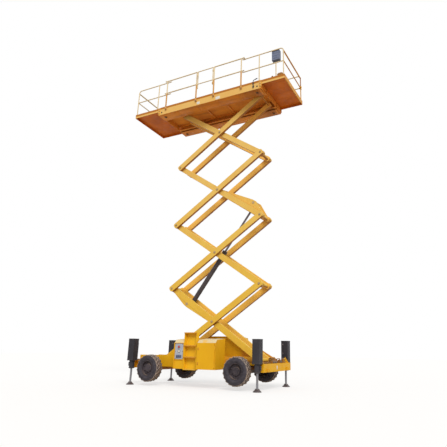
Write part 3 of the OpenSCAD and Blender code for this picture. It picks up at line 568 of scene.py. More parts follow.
class Shape:
    """One added piece, with its geometry in the part's frame."""
    every = []

    def __init__(self, name, material, slot, body="chassis"):
        self.what = name, material, slot, body
        self.mesh = bmesh.new()
        self.every.append(self)

    def block(self, low, high, bevel=0.003):
        """A block with rounded edges between two corners, given in any order."""
        low, high = Vector(low), Vector(high)
        made = bmesh.ops.create_cube(self.mesh, size=1.0)["verts"]
        bmesh.ops.scale(self.mesh, vec=[abs(c) for c in high - low], verts=made)
        bmesh.ops.translate(self.mesh, vec=(low + high) / 2, verts=made)
        edges = list(dict.fromkeys(e for v in made for e in v.link_edges))
        bmesh.ops.bevel(self.mesh, geom=edges, offset=bevel, segments=2, affect="EDGES", profile=0.6)

    def rod(self, a, b, radius, sides=20, tip=None):
        """A round bar from a to b. tip is the radius at b of a tapered one."""
        a, b = Vector(a), Vector(b)
        turn = (b - a).to_track_quat("Z", "Y").to_matrix().to_4x4()
        bmesh.ops.create_cone(self.mesh, cap_ends=True, segments=sides, radius1=radius,
            radius2=radius if tip is None else tip, depth=(b - a).length,
            matrix=Matrix.Translation((a + b) / 2) @ turn)

    def stud(self, at, way, height, radius, sides=20, tip=None):
        """A round bar that starts at that point and goes that way."""
        at = Vector(at)
        self.rod(at, at + Vector(way) * height, radius, sides, tip)

    def bolt(self, at, way, across, height, washer=True):
        """A hexagon head with its washer, standing on a face at that point."""
        at, way = Vector(at), Vector(way).normalized()
        base = at
        if washer:
            base = at + way * height * 0.25
            self.rod(at - way * 0.001, base, across * 0.85, 18)
        self.rod(base, base + way * height, across * 0.577, 6, across * 0.54)

    def bolts(self, xs, ys, zs, way, across, height):
        """A bolt at every meeting of those places."""
        for at in product(xs, ys, zs):
            self.bolt(at, way, across, height)

    def join(self, one, two):
        """Faces between two loops of points."""
        for i in range(len(one)):
            k = (i + 1) % len(one)
            self.mesh.faces.new((one[i], one[k], two[k], two[i]))

    def pipe(self, points, radius, bend, sides=10):
        """A bent tube through the points, with its corners rounded."""
        path = rounded([Vector(p) for p in points], bend)
        up = None
        rings = []
        for i, p in enumerate(path):
            ahead = path[min(i + 1, len(path) - 1)] - path[max(i - 1, 0)]
            ahead.normalize()
            if up is None:
                up = ahead.orthogonal().normalized()
            up = (up - ahead * up.dot(ahead)).normalized()
            side = ahead.cross(up)
            rings.append([self.mesh.verts.new(p + up * c + side * s) for c, s in circle(sides, radius)])
        for one, two in zip(rings, rings[1:]):
            self.join(one, two)
        self.mesh.faces.new(reversed(rings[0]))
        self.mesh.faces.new(rings[-1])

    def ring(self, centre, way, radius, thick, sides=32, around=8):
        """A round bead, such as a weld or a rubber ring."""
        centre, way = Vector(centre), Vector(way).normalized()
        across = way.orthogonal().normalized()
        other = way.cross(across)
        loops = []
        for c, s in circle(sides, 1.0):
            out = across * c + other * s
            loops.append([self.mesh.verts.new(centre + out * (radius + dr) + way * dw)
                for dr, dw in circle(around, thick)])
        for one, two in zip(loops, loops[1:] + loops[:1]):
            self.join(one, two)

    def plate(self, outline, thick):
        """A flat plate with that outline, and thick from its first face to its second."""
        thick = Vector(thick)
        one = [self.mesh.verts.new(Vector(p)) for p in outline]
        two = [self.mesh.verts.new(Vector(p) + thick) for p in outline]
        self.mesh.faces.new(one)
        self.mesh.faces.new(reversed(two))
        self.join(one, two)

    def done(self):
        """Makes the piece from what was collected."""
        name, material, slot, body = self.what
        bmesh.ops.recalc_face_normals(self.mesh, faces=self.mesh.faces)
        mesh = bpy.data.meshes.new(name)
        self.mesh.to_mesh(mesh)
        self.mesh.free()
        smooth_by_angle(mesh)
        mesh.materials.append(material)
        piece = add_object(name, mesh)
        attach(piece, body)


def rounded(points, bend, steps=6):
    """The points with each corner replaced by a round bend."""
    path = [points[0]]
    for before, corner, after in zip(points, points[1:], points[2:]):
        start = corner + (before - corner).normalized() * min(bend, (corner - before).length * 0.48)
        end = corner + (after - corner).normalized() * min(bend, (after - corner).length * 0.48)
        for i in range(steps + 1):
            t = i / steps
            path.append(start * (1 - t) ** 2 + corner * (2 * t * (1 - t)) + end * t ** 2)
    path.append(points[-1])
    return path


def circle(count, radius, start=0.0):
    """Points round a circle, as pairs of offsets."""
    angles = [start + i * tau / count for i in range(count)]
    return [(radius * cos(a), radius * sin(a)) for a in angles]


# Wheels: nuts, hub bolts, the rings of each rim and hub, and the tyre valve
NUT_CIRCLE, NUT_FACE, NUT = 0.158, 0.042, 0.03
HUB_CIRCLE, HUB_FACE, HUB_BOLT = 0.088, 0.077, 0.02
BEAD_RADIUS, BEAD_FACE, HUB_RADIUS = 0.205, 0.113, 0.06
STEM_X, STEM_Z, STEM_LENGTH = 0.02, 0.18, 0.045
for end, side in WHEELS:
    low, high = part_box(f"tyre_{end}_{side}")
    centre = (low + high) / 2
    out = -1 if side == "near" else 1
    trim = Shape(f"wheel_nuts_{end}_{side}", rim_paint, "rim_paint", f"wheel_{end}_{side}")
    for count, radius, face, across in ((8, NUT_CIRCLE, NUT_FACE, NUT), (6, HUB_CIRCLE, HUB_FACE, HUB_BOLT)):
        for dx, dz in circle(count, radius, pi / count):
            trim.bolt(centre + Vector((dx, out * face, dz)), (0, out, 0), across, across * 0.6)
    trim.ring(centre + FAR * out * BEAD_FACE, FAR, BEAD_RADIUS, 0.007, 48)
    trim.ring(centre + FAR * out * (HUB_FACE + 0.002), FAR, HUB_RADIUS, 0.006)
    stem = centre + Vector((STEM_X, out * NUT_FACE, STEM_Z))
    trim.rod(stem, stem + Vector((0, out * STEM_LENGTH, -0.004)), 0.006, 10, 0.005)

# Jacks: lid, foot flange, scraper ring, ports with steel pipes to the end beam, and trim on the feet
JACK_LOW, JACK_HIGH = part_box("jack_housings")
HOUSING_LOW, COLLAR_RADIUS, COLLAR_CIRCLE, ROD_RADIUS = 0.69, 0.08, 0.068, 0.03
BLOCK_LOW, BLOCK_HIGH, BLOCK_HALF, BLOCK_DEEP = 0.53, 0.64, 0.03, 0.028
PORT_HEIGHTS, PORT_SHIFT = (0.95, 1.21), 0.056
LANE_SHIFT, LANE_STEP = 0.045, 0.024
PIPE_STOP_Y = dict(zip(WHEELS, (-0.262, 0.42, -0.515, 0.515)))
ANKLE_Z, ANKLE_HALF, ANKLE_RADIUS, FOOT_RADIUS = 0.066, 0.056, 0.038, 0.111
for end, side in WHEELS:
    rod_low, rod_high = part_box(f"jack_rod_{end}_{side}")
    x, y = ((rod_low + rod_high) / 2).xy
    half = JACK_HIGH.y - abs(y)
    inward = 1 if side == "near" else -1
    along = -1 if end == "front" else 1
    shell = Shape(f"jack_trim_{end}_{side}", jack_paint, "dark_paint")
    lid = half + 0.004
    shell.block((x - lid, y - lid, JACK_HIGH.z - 0.016), (x + lid, y + lid, JACK_HIGH.z + 0.004))
    shell.block((x - lid, y - lid, HOUSING_LOW - 0.004), (x + lid, y + lid, HOUSING_LOW + 0.012))
    shell.ring((x, y, HOUSING_LOW - 0.006), UP, COLLAR_RADIUS, 0.009)
    shell.ring((x, y, JACK_LOW.z + 0.012), UP, COLLAR_RADIUS, 0.008)
    shell.ring((x, y, JACK_LOW.z), UP, ROD_RADIUS + 0.012, 0.009)
    shell.block((x - along * COLLAR_RADIUS, y - BLOCK_HALF, BLOCK_LOW),
        (x - along * (COLLAR_RADIUS + BLOCK_DEEP), y + BLOCK_HALF, BLOCK_HIGH))
    fittings = Shape(f"jack_ports_{end}_{side}", dull_steel, "bare_steel")
    port_x, face = x + along * PORT_SHIFT, y + inward * half
    fittings.bolts([port_x], [face], PORT_HEIGHTS, FAR * inward, 0.03, 0.016)
    for dx, dy in circle(6, COLLAR_CIRCLE, 0.3):
        fittings.bolt((x + dx, y + dy, JACK_LOW.z), DOWN, 0.014, 0.007)
    pipes = Shape(f"jack_pipes_{end}_{side}", pipe_paint, "dark_paint")
    for k, z in enumerate(PORT_HEIGHTS):
        out_y = face + inward * (0.03 + LANE_STEP * k)
        level = BEAM_TOP + 0.012 + 0.02 * k
        lane = x - along * LANE_SHIFT + LANE_STEP * k
        pipes.pipe([(port_x, face, z), (port_x, out_y, z), (port_x, out_y, level), (lane, out_y, level),
            (lane, PIPE_STOP_Y[end, side], level)], 0.009, 0.03)
    foot = Shape(f"jack_foot_trim_{end}_{side}", dull_steel, "bare_steel", f"jack_{end}_{side}")
    foot.ring((x, y, FOOT_TOP + 0.002), UP, ANKLE_RADIUS, 0.008)
    foot.rod((x - ANKLE_HALF, y, ANKLE_Z), (x + ANKLE_HALF, y, ANKLE_Z), 0.008, 12)
    for way in (-1, 1):
        foot.bolt((x + way * (ANKLE_HALF - 0.002), y, ANKLE_Z), (way, 0, 0), 0.022, 0.008)
    foot.ring((x, y, 0.008), UP, FOOT_RADIUS, 0.005, 40)

# Front beam: pipes and caps of the valve block, the hoop by the far jack and a bare tag
VALVE_X = VALVE_HIGH.x - 0.045
VALVE_SPOTS = (-0.23, -0.17, -0.11, -0.05, 0.01)
PAIR_SPOTS, FILTER_Y = (0.33, 0.39), 0.62
HOOP_NEAR, HOOP_FAR, HOOP_FOOT, HOOP_TOP = 0.7, 0.83, BEAM_TOP - 0.004, BEAM_TOP + 0.12
TAG_NEAR, TAG_FAR, TAG_LOW, TAG_HIGH = -0.03, 0.035, 0.53, 0.63
pipes = Shape("valve_pipes", valve_paint, "dark_paint")


def valve_pipe(y, start, rise, drop, aside, back):
    """A pipe that rises from the valve block and bends down behind it. Heights are over the beam."""
    pipes.pipe([(VALVE_X, y, BEAM_TOP + start), (VALVE_X, y, BEAM_TOP + rise),
        (VALVE_X - 0.1, y + aside, BEAM_TOP + rise - drop),
        (VALVE_X - back, y + aside, BEAM_TOP - 0.15)], 0.01, 0.04)


for i, y in enumerate(VALVE_SPOTS):
    valve_pipe(y, 0.1, 0.15 - 0.012 * (i % 2), 0.01, 0.015, 0.15)
for y in PAIR_SPOTS:
    valve_pipe(y, 0.08, 0.125, 0.015, -0.02, 0.14)
caps = Shape("valve_caps", dull_steel, "bare_steel")
for y in VALVE_SPOTS:
    caps.bolt((VALVE_HIGH.x, y, BEAM_TOP + 0.035), AHEAD, 0.026, 0.014)
    caps.ring((VALVE_X, y, BEAM_TOP + 0.07), UP, 0.018, 0.005, 20)
for y in PAIR_SPOTS:
    caps.bolt((VALVE_HIGH.x - 0.01, y, BEAM_TOP + 0.05), AHEAD, 0.03, 0.016)
caps.ring((VALVE_X, FILTER_Y, BEAM_TOP + 0.118), UP, 0.033, 0.007)
caps.stud((VALVE_X, FILTER_Y, BEAM_TOP + 0.129), UP, 0.013, 0.02, 20, 0.016)
hoop = Shape("beam_hoop", body_paint, "yellow_paint")
hoop.pipe([(VALVE_X, HOOP_NEAR, HOOP_FOOT), (VALVE_X, HOOP_NEAR, HOOP_TOP), (VALVE_X, HOOP_FAR, HOOP_TOP),
    (VALVE_X, HOOP_FAR, HOOP_FOOT)], 0.015, 0.04, 12)
for y in (HOOP_NEAR, HOOP_FAR):
    hoop.ring((VALVE_X, y, BEAM_TOP + 0.002), UP, 0.017, 0.006)
tag = Shape("beam_tag", white_plate, "panel_grey")
tag.block((BEAM_FACE - 0.001, TAG_NEAR, TAG_LOW), (BEAM_FACE + 0.003, TAG_FAR, TAG_HIGH), 0.001)
for y in (TAG_NEAR + 0.01, TAG_FAR - 0.01):
    tag.stud((BEAM_FACE + 0.002, y, (TAG_LOW + TAG_HIGH) / 2), AHEAD, 0.004, 0.005, 10, 0.003)

# Axles: clamps that hold them under the side members
GIRDER_Y, GIRDER_LOW, CLAMP_HALF, CLAMP_DROP = 0.455, 0.52, 0.065, 0.105
clamps = Shape("axle_clamps", dull_steel, "bare_steel")
for axle in ("front_axle", "rear_axle"):
    low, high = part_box(axle)
    x = (low.x + high.x) / 2
    back, ahead = x - CLAMP_HALF, x + CLAMP_HALF
    for y in (-GIRDER_Y - 0.03, -GIRDER_Y + 0.02, GIRDER_Y - 0.02, GIRDER_Y + 0.03):
        clamps.pipe([(back, y, GIRDER_LOW + 0.03), (back, y, GIRDER_LOW - CLAMP_DROP),
            (ahead, y, GIRDER_LOW - CLAMP_DROP), (ahead, y, GIRDER_LOW + 0.03)], 0.009, 0.02)
        clamps.bolts((back, ahead), [y], [GIRDER_LOW + 0.012], UP, 0.024, 0.014)

# Ladder: lips under the treads' front edges and grip studs
TREADS = (0.475, 0.81, 1.125, 1.482)
TREAD_THICK = 0.018
STUD_ROWS, STUDS_IN_ROW, STUD_GAP, ROW_GAP = 2, 9, 0.0425, 0.045
# The lips take the darker step paint, painted shade under the tread edges.
lips = Shape("ladder_lips", step_paint, "yellow_paint")
for z in TREADS[1:]:
    lips.block((LADDER_LOW.x - 0.003, LADDER_LOW.y - 0.012, z - 0.012),
        (LADDER_HIGH.x + 0.003, LADDER_LOW.y + 0.006, z + TREAD_THICK + 0.002))
studs = Shape("ladder_studs", dull_steel, "bare_steel")
for z in TREADS:
    first = Vector((LADDER_LOW.x + 0.04, LADDER_LOW.y + 0.035, z + TREAD_THICK - 0.001))
    for i in range(STUDS_IN_ROW):
        for k in range(STUD_ROWS):
            studs.stud(first + AHEAD * STUD_GAP * i + FAR * ROW_GAP * k, UP, 0.006, 0.009, 10, 0.005)

# Ground controls: screws, a stop button, switches and a gauge on a bare panel
face = PANEL_LOW.y
mid_x = (PANEL_LOW.x + PANEL_HIGH.x) / 2
STOP_Z, GAUGE_Z, SWITCH_Z = PANEL_HIGH.z - 0.09, PANEL_HIGH.z - 0.21, PANEL_LOW.z + 0.075
SCREW_IN, SWITCH_GAP = 0.016, 0.055
screws = Shape("panel_screws", dull_steel, "bare_steel")
screws.bolts((PANEL_LOW.x + SCREW_IN, PANEL_HIGH.x - SCREW_IN), [face],
    (PANEL_LOW.z + SCREW_IN, (PANEL_LOW.z + PANEL_HIGH.z) / 2, PANEL_HIGH.z - SCREW_IN), NEAR, 0.012, 0.005)
screws.ring((mid_x, face - 0.002, GAUGE_Z), FAR, 0.036, 0.006)
stop = Shape("panel_stop", red_plastic, "control_grey")
stop.stud((mid_x, face, STOP_Z), NEAR, 0.022, 0.016)
stop.stud((mid_x, face - 0.02, STOP_Z), NEAR, 0.014, 0.034, 28, 0.03)
stop.stud((mid_x, face - 0.0335, STOP_Z), NEAR, 0.0065, 0.03, 28, 0.014)
gauge = Shape("panel_gauge", white_plate, "control_grey")
gauge.stud((mid_x, face, GAUGE_Z), NEAR, 0.004, 0.033, 28)
switches = Shape("panel_switches", switch_plastic, "control_grey")
switches.block((mid_x - 0.09, face + 0.001, SWITCH_Z - 0.04),
    (mid_x + 0.09, face - 0.012, SWITCH_Z + 0.04), 0.006)
for x in (mid_x - SWITCH_GAP, mid_x, mid_x + SWITCH_GAP):
    switches.stud((x, face - 0.011, SWITCH_Z), NEAR, 0.011, 0.014, 18, 0.012)
    switches.rod((x, face - 0.02, SWITCH_Z), (x, face - 0.045, SWITCH_Z + 0.008), 0.005, 10, 0.0065)

# Doors: latches with their pull plates
LATCH_IN, LATCH_END = 0.05, 0.16
for door in ("power_door", "tank_door"):
    low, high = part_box(door)
    out, face = (-1, low.y) if low.y < 0 else (1, high.y)
    latch = Shape(f"{door}_latches", step_paint, "yellow_paint", door)
    x = low.x + LATCH_IN
    for z in (low.z + LATCH_END, high.z - LATCH_END):
        latch.block((x - 0.02, face - out * 0.001, z - 0.036),
            (x + 0.02, face + out * 0.004, z + 0.036), 0.002)
        latch.block((x - 0.011, face, z - 0.026), (x + 0.011, face + out * 0.012, z + 0.012), 0.004)
        latch.stud((x, face, z + 0.024), (0, out, 0), 0.008, 0.007, 14, 0.006)

# Engine: fins and bolts of its head, the exhaust and the pulley
ENGINE_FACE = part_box("engine")[0].y
HEAD_X, HEAD_Y, HEAD_TOP = (0.5, 0.761), (-0.9, -0.64), 0.98
HEAD_BOLTS_X, HEAD_BOLTS_Y = (0.53, 0.73), (-0.87, -0.67)
FINS, FIN_LOW, FIN_STEP, FIN = 4, 0.855, 0.03, 0.008
EXHAUST_X, EXHAUST_Y, EXHAUST_LOW, EXHAUST_TOP = 0.63, -0.592, 0.93, 1.1
SILENCER_X, SILENCER_LENGTH = 0.79, 0.14
PULLEY_X, PULLEY_Z = 0.573, 0.65
trim = Shape("engine_trim", dull_steel, "dark_paint")
for k in range(FINS):
    z = FIN_LOW + FIN_STEP * k
    trim.block((HEAD_X[0] - FIN, HEAD_Y[0] - FIN, z), (HEAD_X[1] + FIN, HEAD_Y[1] + FIN, z + FIN), 0.002)
trim.pipe([(EXHAUST_X, HEAD_Y[1] - 0.01, EXHAUST_LOW), (EXHAUST_X, EXHAUST_Y, EXHAUST_LOW),
    (EXHAUST_X, EXHAUST_Y, EXHAUST_TOP), (SILENCER_X + 0.05, EXHAUST_Y, EXHAUST_TOP)], 0.024, 0.05, 14)
trim.stud((SILENCER_X, EXHAUST_Y, EXHAUST_TOP), AHEAD, SILENCER_LENGTH, 0.045, 24)
trim.ring((PULLEY_X, ENGINE_FACE, PULLEY_Z), FAR, 0.045, 0.008)
trim.stud((PULLEY_X, ENGINE_FACE + 0.001, PULLEY_Z), NEAR, 0.015, 0.018, 18)
trim.bolts(HEAD_BOLTS_X, HEAD_BOLTS_Y, [HEAD_TOP], UP, 0.024, 0.012)

# Tank: straps and the filler cap
TANK_Y, TANK_Z = (0.58, 0.95), (0.508, 1.02)
STRAPS, STRAP_WIDTH = (-0.23, 0.1), 0.035
FILLER_X, FILLER_Y, FILLER_TOP = -0.161, 0.68, 1.07
straps = Shape("tank_straps", dull_steel, "tank_paint")
for x in STRAPS:
    straps.block((x, TANK_Y[0] - 0.003, TANK_Z[0]),
        (x + STRAP_WIDTH, TANK_Y[1] + 0.003, TANK_Z[1] + 0.003), 0.002)
straps.ring((FILLER_X, FILLER_Y, FILLER_TOP - 0.008), UP, 0.044, 0.007)
straps.stud((FILLER_X, FILLER_Y, FILLER_TOP), UP, 0.015, 0.03, 24, 0.026)

# Arms: keepers on the pin heads, and weld beads round the cross tubes
PIN_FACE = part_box("pins_a2")[1].y
TUBE_END, TUBE_RADIUS = 0.189, 0.056
for level in LEVELS:
    low_z = PIVOT_Z + (level - 1) * RISE
    spots = [((SLIDE_X + PIVOT_X) / 2, low_z + RISE / 2)]
    if level > 1:
        spots.append((SLIDE_X, low_z))
    if level < len(LEVELS):
        spots.append((PIVOT_X, low_z + RISE))
    keepers = Shape(f"pin_keepers_a{level}", pin_paint, "bare_steel", f"a{level}")
    for x, z in spots:
        for way in (NEAR, FAR):
            at = Vector((x, 0, z)) + way * PIN_FACE
            keepers.stud(at - way * 0.002, way, 0.007, 0.026, 24, 0.024)
            keepers.bolt(at + way * 0.005, way, 0.022, 0.008, False)
    welds = Shape(f"arm_welds_b{level}", arm_paint, "yellow_paint", f"b{level}")
    for x, z in ((PIVOT_X, low_z), (SLIDE_X, low_z + RISE)):
        for y in (-TUBE_END, TUBE_END):
            welds.ring((x, y, z), FAR, TUBE_RADIUS, 0.006)

# Plates that carry the lift cylinder: corners by distance from the arm's front pin and height over the arm
ALONG = Vector((SLIDE_X - PIVOT_X, 0, RISE)).normalized()
ABOVE = FAR.cross(ALONG)
LOW_PLATE = ((1.99, -0.086), (2.99, -0.19), (3.15, -0.188), (3.72, -0.08), (3.72, -0.03), (1.99, -0.03))
HIGH_PLATE = ((0.625, 0.305), (1.86, 0.086), (1.86, 0.03), (0.625, 0.03))
PLATE_THICK = 0.021
for level, outline, face in ((1, LOW_PLATE, 0.256), (3, HIGH_PLATE, 0.1615)):
    pin = Vector((PIVOT_X, 0, PIVOT_Z + (level - 1) * RISE))
    plates = Shape(f"ram_plates_b{level}", arm_paint, "yellow_paint", f"b{level}")
    for way in (NEAR, FAR):
        plates.plate([pin + ALONG * a + ABOVE * v + way * face for a, v in outline], way * PLATE_THICK)
FOOT_PIN, HIGH_PIN = Vector(joint["barrel_pivot"]["pos_m"]), Vector((1.662, 0, 5.572))
for level, pin, face in ((1, FOOT_PIN, 0.276), (3, HIGH_PIN, 0.183)):
    caps = Shape(f"ram_pin_caps_b{level}", pin_paint, "bare_steel", f"b{level}")
    for way in (NEAR, FAR):
        caps.stud(pin + way * face, way, 0.005, 0.05, 32, 0.047)
        caps.ring(pin + way * (face + 0.003), FAR, 0.03, 0.002)

# Lift cylinder: a steel pipe along the barrel with clamps, port blocks and the gland's bolts
AXIS = Vector(joint["rod_slide"]["axis"])
OVER = FAR.cross(AXIS)
BARREL_LENGTH, BARREL_RADIUS, GLAND_CIRCLE = 2.06, 0.074, 0.062
PIPE_OUT, PIPE_START, PIPE_END = 0.098, 0.2, BARREL_LENGTH - 0.1
PIPE_CLAMPS = (0.5, 0.95, 1.4, 1.8)


def on_ram(along, aside, over=0.0):
    """A point by its distance along the barrel from the foot pin, and off its axis."""
    return FOOT_PIN + AXIS * along + FAR * aside + OVER * over


supply = Shape("ram_pipe", dull_steel, "dark_paint", "barrel")
supply.pipe([on_ram(PIPE_START, 0.08), on_ram(PIPE_START, PIPE_OUT), on_ram(PIPE_END, PIPE_OUT),
    on_ram(PIPE_END, 0.08)], 0.011, 0.04, 12)
clamps = Shape("ram_clamps", ram_paint, "dark_paint", "barrel")
for along in PIPE_CLAMPS:
    clamps.ring(on_ram(along, 0), AXIS, BARREL_RADIUS + 0.003, 0.007)
    clamps.rod(on_ram(along - 0.012, PIPE_OUT), on_ram(along + 0.012, PIPE_OUT), 0.018, 14)
for dy, dz in circle(8, GLAND_CIRCLE):
    clamps.bolt(on_ram(BARREL_LENGTH, dy, dz), AXIS, 0.018, 0.009)
clamps.ring(on_ram(0.06, 0), AXIS, BARREL_RADIUS, 0.009)
for along in (PIPE_START, PIPE_END):
    clamps.rod(on_ram(along, 0.073), on_ram(along, 0.088), 0.024, 16)

# Platform: bolts on the post feet and guide plates, bare tags, slide lock, plugs, stops and belly plates
FOOT_Y, PLATE_Y = 0.934, 0.906
POSTS = (-1.615, -0.307, 0.419, 1.5)
bolts = Shape("deck_bolts", dull_steel, "bare_steel", "deck")
for out in (-1, 1):
    for x in POSTS:
        rows = DECK_HIGH.z - 0.145, DECK_HIGH.z - 0.035
        bolts.bolts((x - 0.018, x + 0.018), [out * FOOT_Y], rows, FAR * out, 0.016, 0.007)
    rows = DECK_LOW.z + 0.08, DECK_LOW.z + 0.16, DECK_LOW.z + 0.24
    bolts.bolts((DECK_LOW.x + 0.045, DECK_HIGH.x - 0.045), [out * PLATE_Y], rows, FAR * out, 0.024, 0.01)
SKIRT_TAGS, RIVET_IN = ((-0.27, -0.15, 9.3, 9.4), (0.5, 0.67, 9.29, 9.4)), 0.012
tags = Shape("skirt_tags", white_plate, "panel_grey", "deck")
for x0, x1, z0, z1 in SKIRT_TAGS:
    tags.block((x0, -SKIRT_Y - 0.003, z0), (x1, -SKIRT_Y + 0.001, z1), 0.001)
    for x in (x0 + RIVET_IN, x1 - RIVET_IN):
        for z in (z0 + RIVET_IN, z1 - RIVET_IN):
            tags.stud((x, -SKIRT_Y - 0.002, z), NEAR, 0.004, 0.005, 10, 0.003)
LOCK_X, LOCK_Y, LOCK_HALF = 1.955, -SKIRT_Y - 0.022, 0.025
LOCK_GUIDES, LOCK_LOW, LOCK_HIGH = ((9.36, 9.43), (9.49, 9.53)), 9.33, 9.62
lock = Shape("slide_lock", black_plastic, "control_grey", "deck")
for z0, z1 in LOCK_GUIDES:
    lock.block((LOCK_X - LOCK_HALF, -SKIRT_Y - 0.018, z0), (LOCK_X + LOCK_HALF, -SKIRT_Y + 0.001, z1))
lock.pipe([(LOCK_X, LOCK_Y, LOCK_LOW), (LOCK_X, LOCK_Y, LOCK_HIGH),
    (LOCK_X + 0.095, LOCK_Y, LOCK_HIGH + 0.025)], 0.011, 0.04)
lock.rod((LOCK_X + 0.065, LOCK_Y, LOCK_HIGH + 0.018), (LOCK_X + 0.155, LOCK_Y, LOCK_HIGH + 0.04), 0.016, 14)
PLUG_X, PLUG_Z = DECK_LOW.x + 0.16, DECK_LOW.z + 0.1
plugs = Shape("skirt_plugs", axle_paint, "dark_paint", "deck")
for x in (PLUG_X, DECK_LOW.x + DECK_HIGH.x - PLUG_X):
    for way in (NEAR, FAR):
        at = Vector((x, 0, PLUG_Z)) + way * SKIRT_Y
        plugs.stud(at - way * 0.002, way, 0.008, 0.03, 24, 0.026)
        plugs.bolt(at + way * 0.006, way, 0.03, 0.012)
STOPS_X, STOP_Y = (-1.74, 2.02), 0.71
stops = Shape("slide_stops", stop_paint, "dark_paint", "deck")
for x in STOPS_X:
    for y in (-STOP_Y, STOP_Y):
        stops.block((x - 0.035, y - 0.045, DECK_LOW.z - 0.03),
            (x + 0.035, y + 0.045, DECK_LOW.z - 0.005), 0.006)
BAYS, BELLY_THICK, BELLY_IN, BELLY_OUT = 5, 0.007, 0.515, 0.84
BAY = (DECK_HIGH.x - DECK_LOW.x - 0.08) / BAYS
belly = Shape("belly_plates", skirt_paint, "yellow_paint", "deck")
for out in (-1, 1):
    for i in range(BAYS):
        x0 = DECK_LOW.x + 0.04 + i * BAY
        x1 = x0 + BAY - 0.006
        belly.block((x0, out * BELLY_IN, DECK_LOW.z - BELLY_THICK), (x1, out * BELLY_OUT, DECK_LOW.z), 0.002)
        rows = out * (BELLY_IN + 0.035), out * (BELLY_OUT - 0.04)
        belly.bolts((x0 + 0.04, x1 - 0.04), rows, [DECK_LOW.z - BELLY_THICK], DOWN, 0.016, 0.006)

# Rails: caps on the open tubes, bolts on the guides and weld beads where posts meet rails
RAIL_Y, EXT_RAIL_Y = 0.924, 0.846
RAIL_ENDS, GUIDE_BOLTS = ((-1.7, -1), (1.6, 1)), (-1.68, 1.58)
caps = Shape("rail_caps", black_plastic, "control_grey", "deck")
welds = Shape("rail_welds", rail_paint, "rail_paint", "deck")
for out in (-1, 1):
    for x, way in RAIL_ENDS:
        for z in (RAIL_MID, RAIL_TOP):
            caps.stud((x, out * RAIL_Y, z), AHEAD * way, 0.01, 0.019, 18, 0.012)
    caps.bolts(GUIDE_BOLTS, [out * SKIRT_Y], [RAIL_TOP + 0.032], UP, 0.02, 0.008)
    for x in POSTS:
        for z in (RAIL_MID + 0.022, RAIL_TOP - 0.021):
            welds.ring((x, out * RAIL_Y, z), UP, 0.02, 0.004, 18, 6)
        welds.ring((x, out * RAIL_Y, DECK_HIGH.z - 0.018), UP, 0.026, 0.005, 18, 6)
NEAR_POST = 0.31
REAR_POSTS, FRONT_POSTS = (0.043, 1.012), (0.043, NEAR_POST, 0.92)
for body, node, way, posts in (("rear_extension", "rear_rails", 1, REAR_POSTS),
        ("front_extension", "front_rails", -1, FRONT_POSTS)):
    low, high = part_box(node)
    end_x = (low.x if way > 0 else high.x) - way * 0.025
    welds = Shape(f"{body}_welds", finish_of[node], "rail_paint", body)
    for out in (-1, 1):
        for post in posts:
            if out > 0 and post == NEAR_POST:
                continue
            x = end_x + way * post
            welds.ring((x, out * EXT_RAIL_Y, FLOOR_TOP + 0.018), UP, 0.018, 0.006, 18, 6)
            welds.ring((x, out * EXT_RAIL_Y, RAIL_MID - 0.019), UP, 0.018, 0.004, 18, 6)

# Tube clamp where the rails meet the far corner post of the front deck
CLAMP_RADIUS, CLAMP_REACH, CLAMP_BOLT = 0.026, 0.06, 0.035
corner = Vector((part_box("front_rails")[1].x - 0.018, EXT_RAIL_Y, RAIL_MID))
clamp = Shape("corner_clamp", body_paint, "rail_paint", "front_extension")
for way in (UP, DOWN, -AHEAD, NEAR):
    clamp.stud(corner, way, CLAMP_REACH, CLAMP_RADIUS, 20)
    clamp.ring(corner + way * CLAMP_REACH, way, CLAMP_RADIUS - 0.002, 0.004, 20)
for way in (FAR, AHEAD):
    clamp.bolt(corner + way * CLAMP_RADIUS + UP * CLAMP_BOLT, way, 0.018, 0.01)

# Entry gate: latch on the free post and hinge collars
GATE_FREE, GATE_HUNG = -0.257, 0.369
LATCH_Z, HANDLE_Y, HANDLE_DROP = 10.44, -RAIL_Y - 0.052, 0.08
latch = Shape("gate_latch", rail_paint, "rail_paint", "gate")
latch.block((GATE_FREE - 0.026, -RAIL_Y - 0.028, LATCH_Z - 0.03),
    (GATE_FREE + 0.026, -RAIL_Y - 0.012, LATCH_Z + 0.03), 0.005)
latch.pipe([(GATE_FREE, -RAIL_Y - 0.024, LATCH_Z), (GATE_FREE, HANDLE_Y, LATCH_Z),
    (GATE_FREE, HANDLE_Y, LATCH_Z - HANDLE_DROP)], 0.007, 0.02)
for z in (RAIL_MID, RAIL_TOP):
    for x in (GATE_FREE, GATE_HUNG):
        latch.ring((x, -RAIL_Y, z - 0.02), UP, 0.0165, 0.004, 20)

# Platform control box: cover seam and ribs outside, joystick and buttons towards the deck
BUTTONS, BUTTON_GAP = 3, 0.04
low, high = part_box("platform_box")
inner = high.y
mid_x = (low.x + high.x) / 2
shell = Shape("platform_shell", box_plastic, "control_grey", "front_extension")
for z in (low.z + 0.06, low.z + 0.16, low.z + 0.26):
    shell.block((low.x + 0.02, low.y - 0.004, z), (high.x - 0.02, low.y + 0.002, z + 0.012), 0.002)
shell.block((low.x - 0.003, inner - 0.03, low.z - 0.003),
    (high.x + 0.003, inner - 0.022, high.z - 0.012), 0.002)
controls = Shape("platform_controls", black_plastic, "control_grey", "front_extension")
stick = Vector((mid_x - 0.06, inner, low.z + 0.2))
controls.stud(stick, FAR, 0.024, 0.034, 20, 0.018)
controls.rod(stick + FAR * 0.02, stick + Vector((0, 0.075, 0.01)), 0.009, 12)
controls.rod(stick + Vector((0, 0.07, 0.009)), stick + Vector((0, 0.095, 0.013)), 0.015, 14, 0.012)
for k in range(BUTTONS):
    controls.stud((mid_x + 0.02 + BUTTON_GAP * k, inner, low.z + 0.27), FAR, 0.012, 0.012, 14, 0.01)
controls.bolts((low.x + 0.02, high.x - 0.02), [inner], (low.z + 0.03, low.z + 0.33), FAR, 0.016, 0.006)
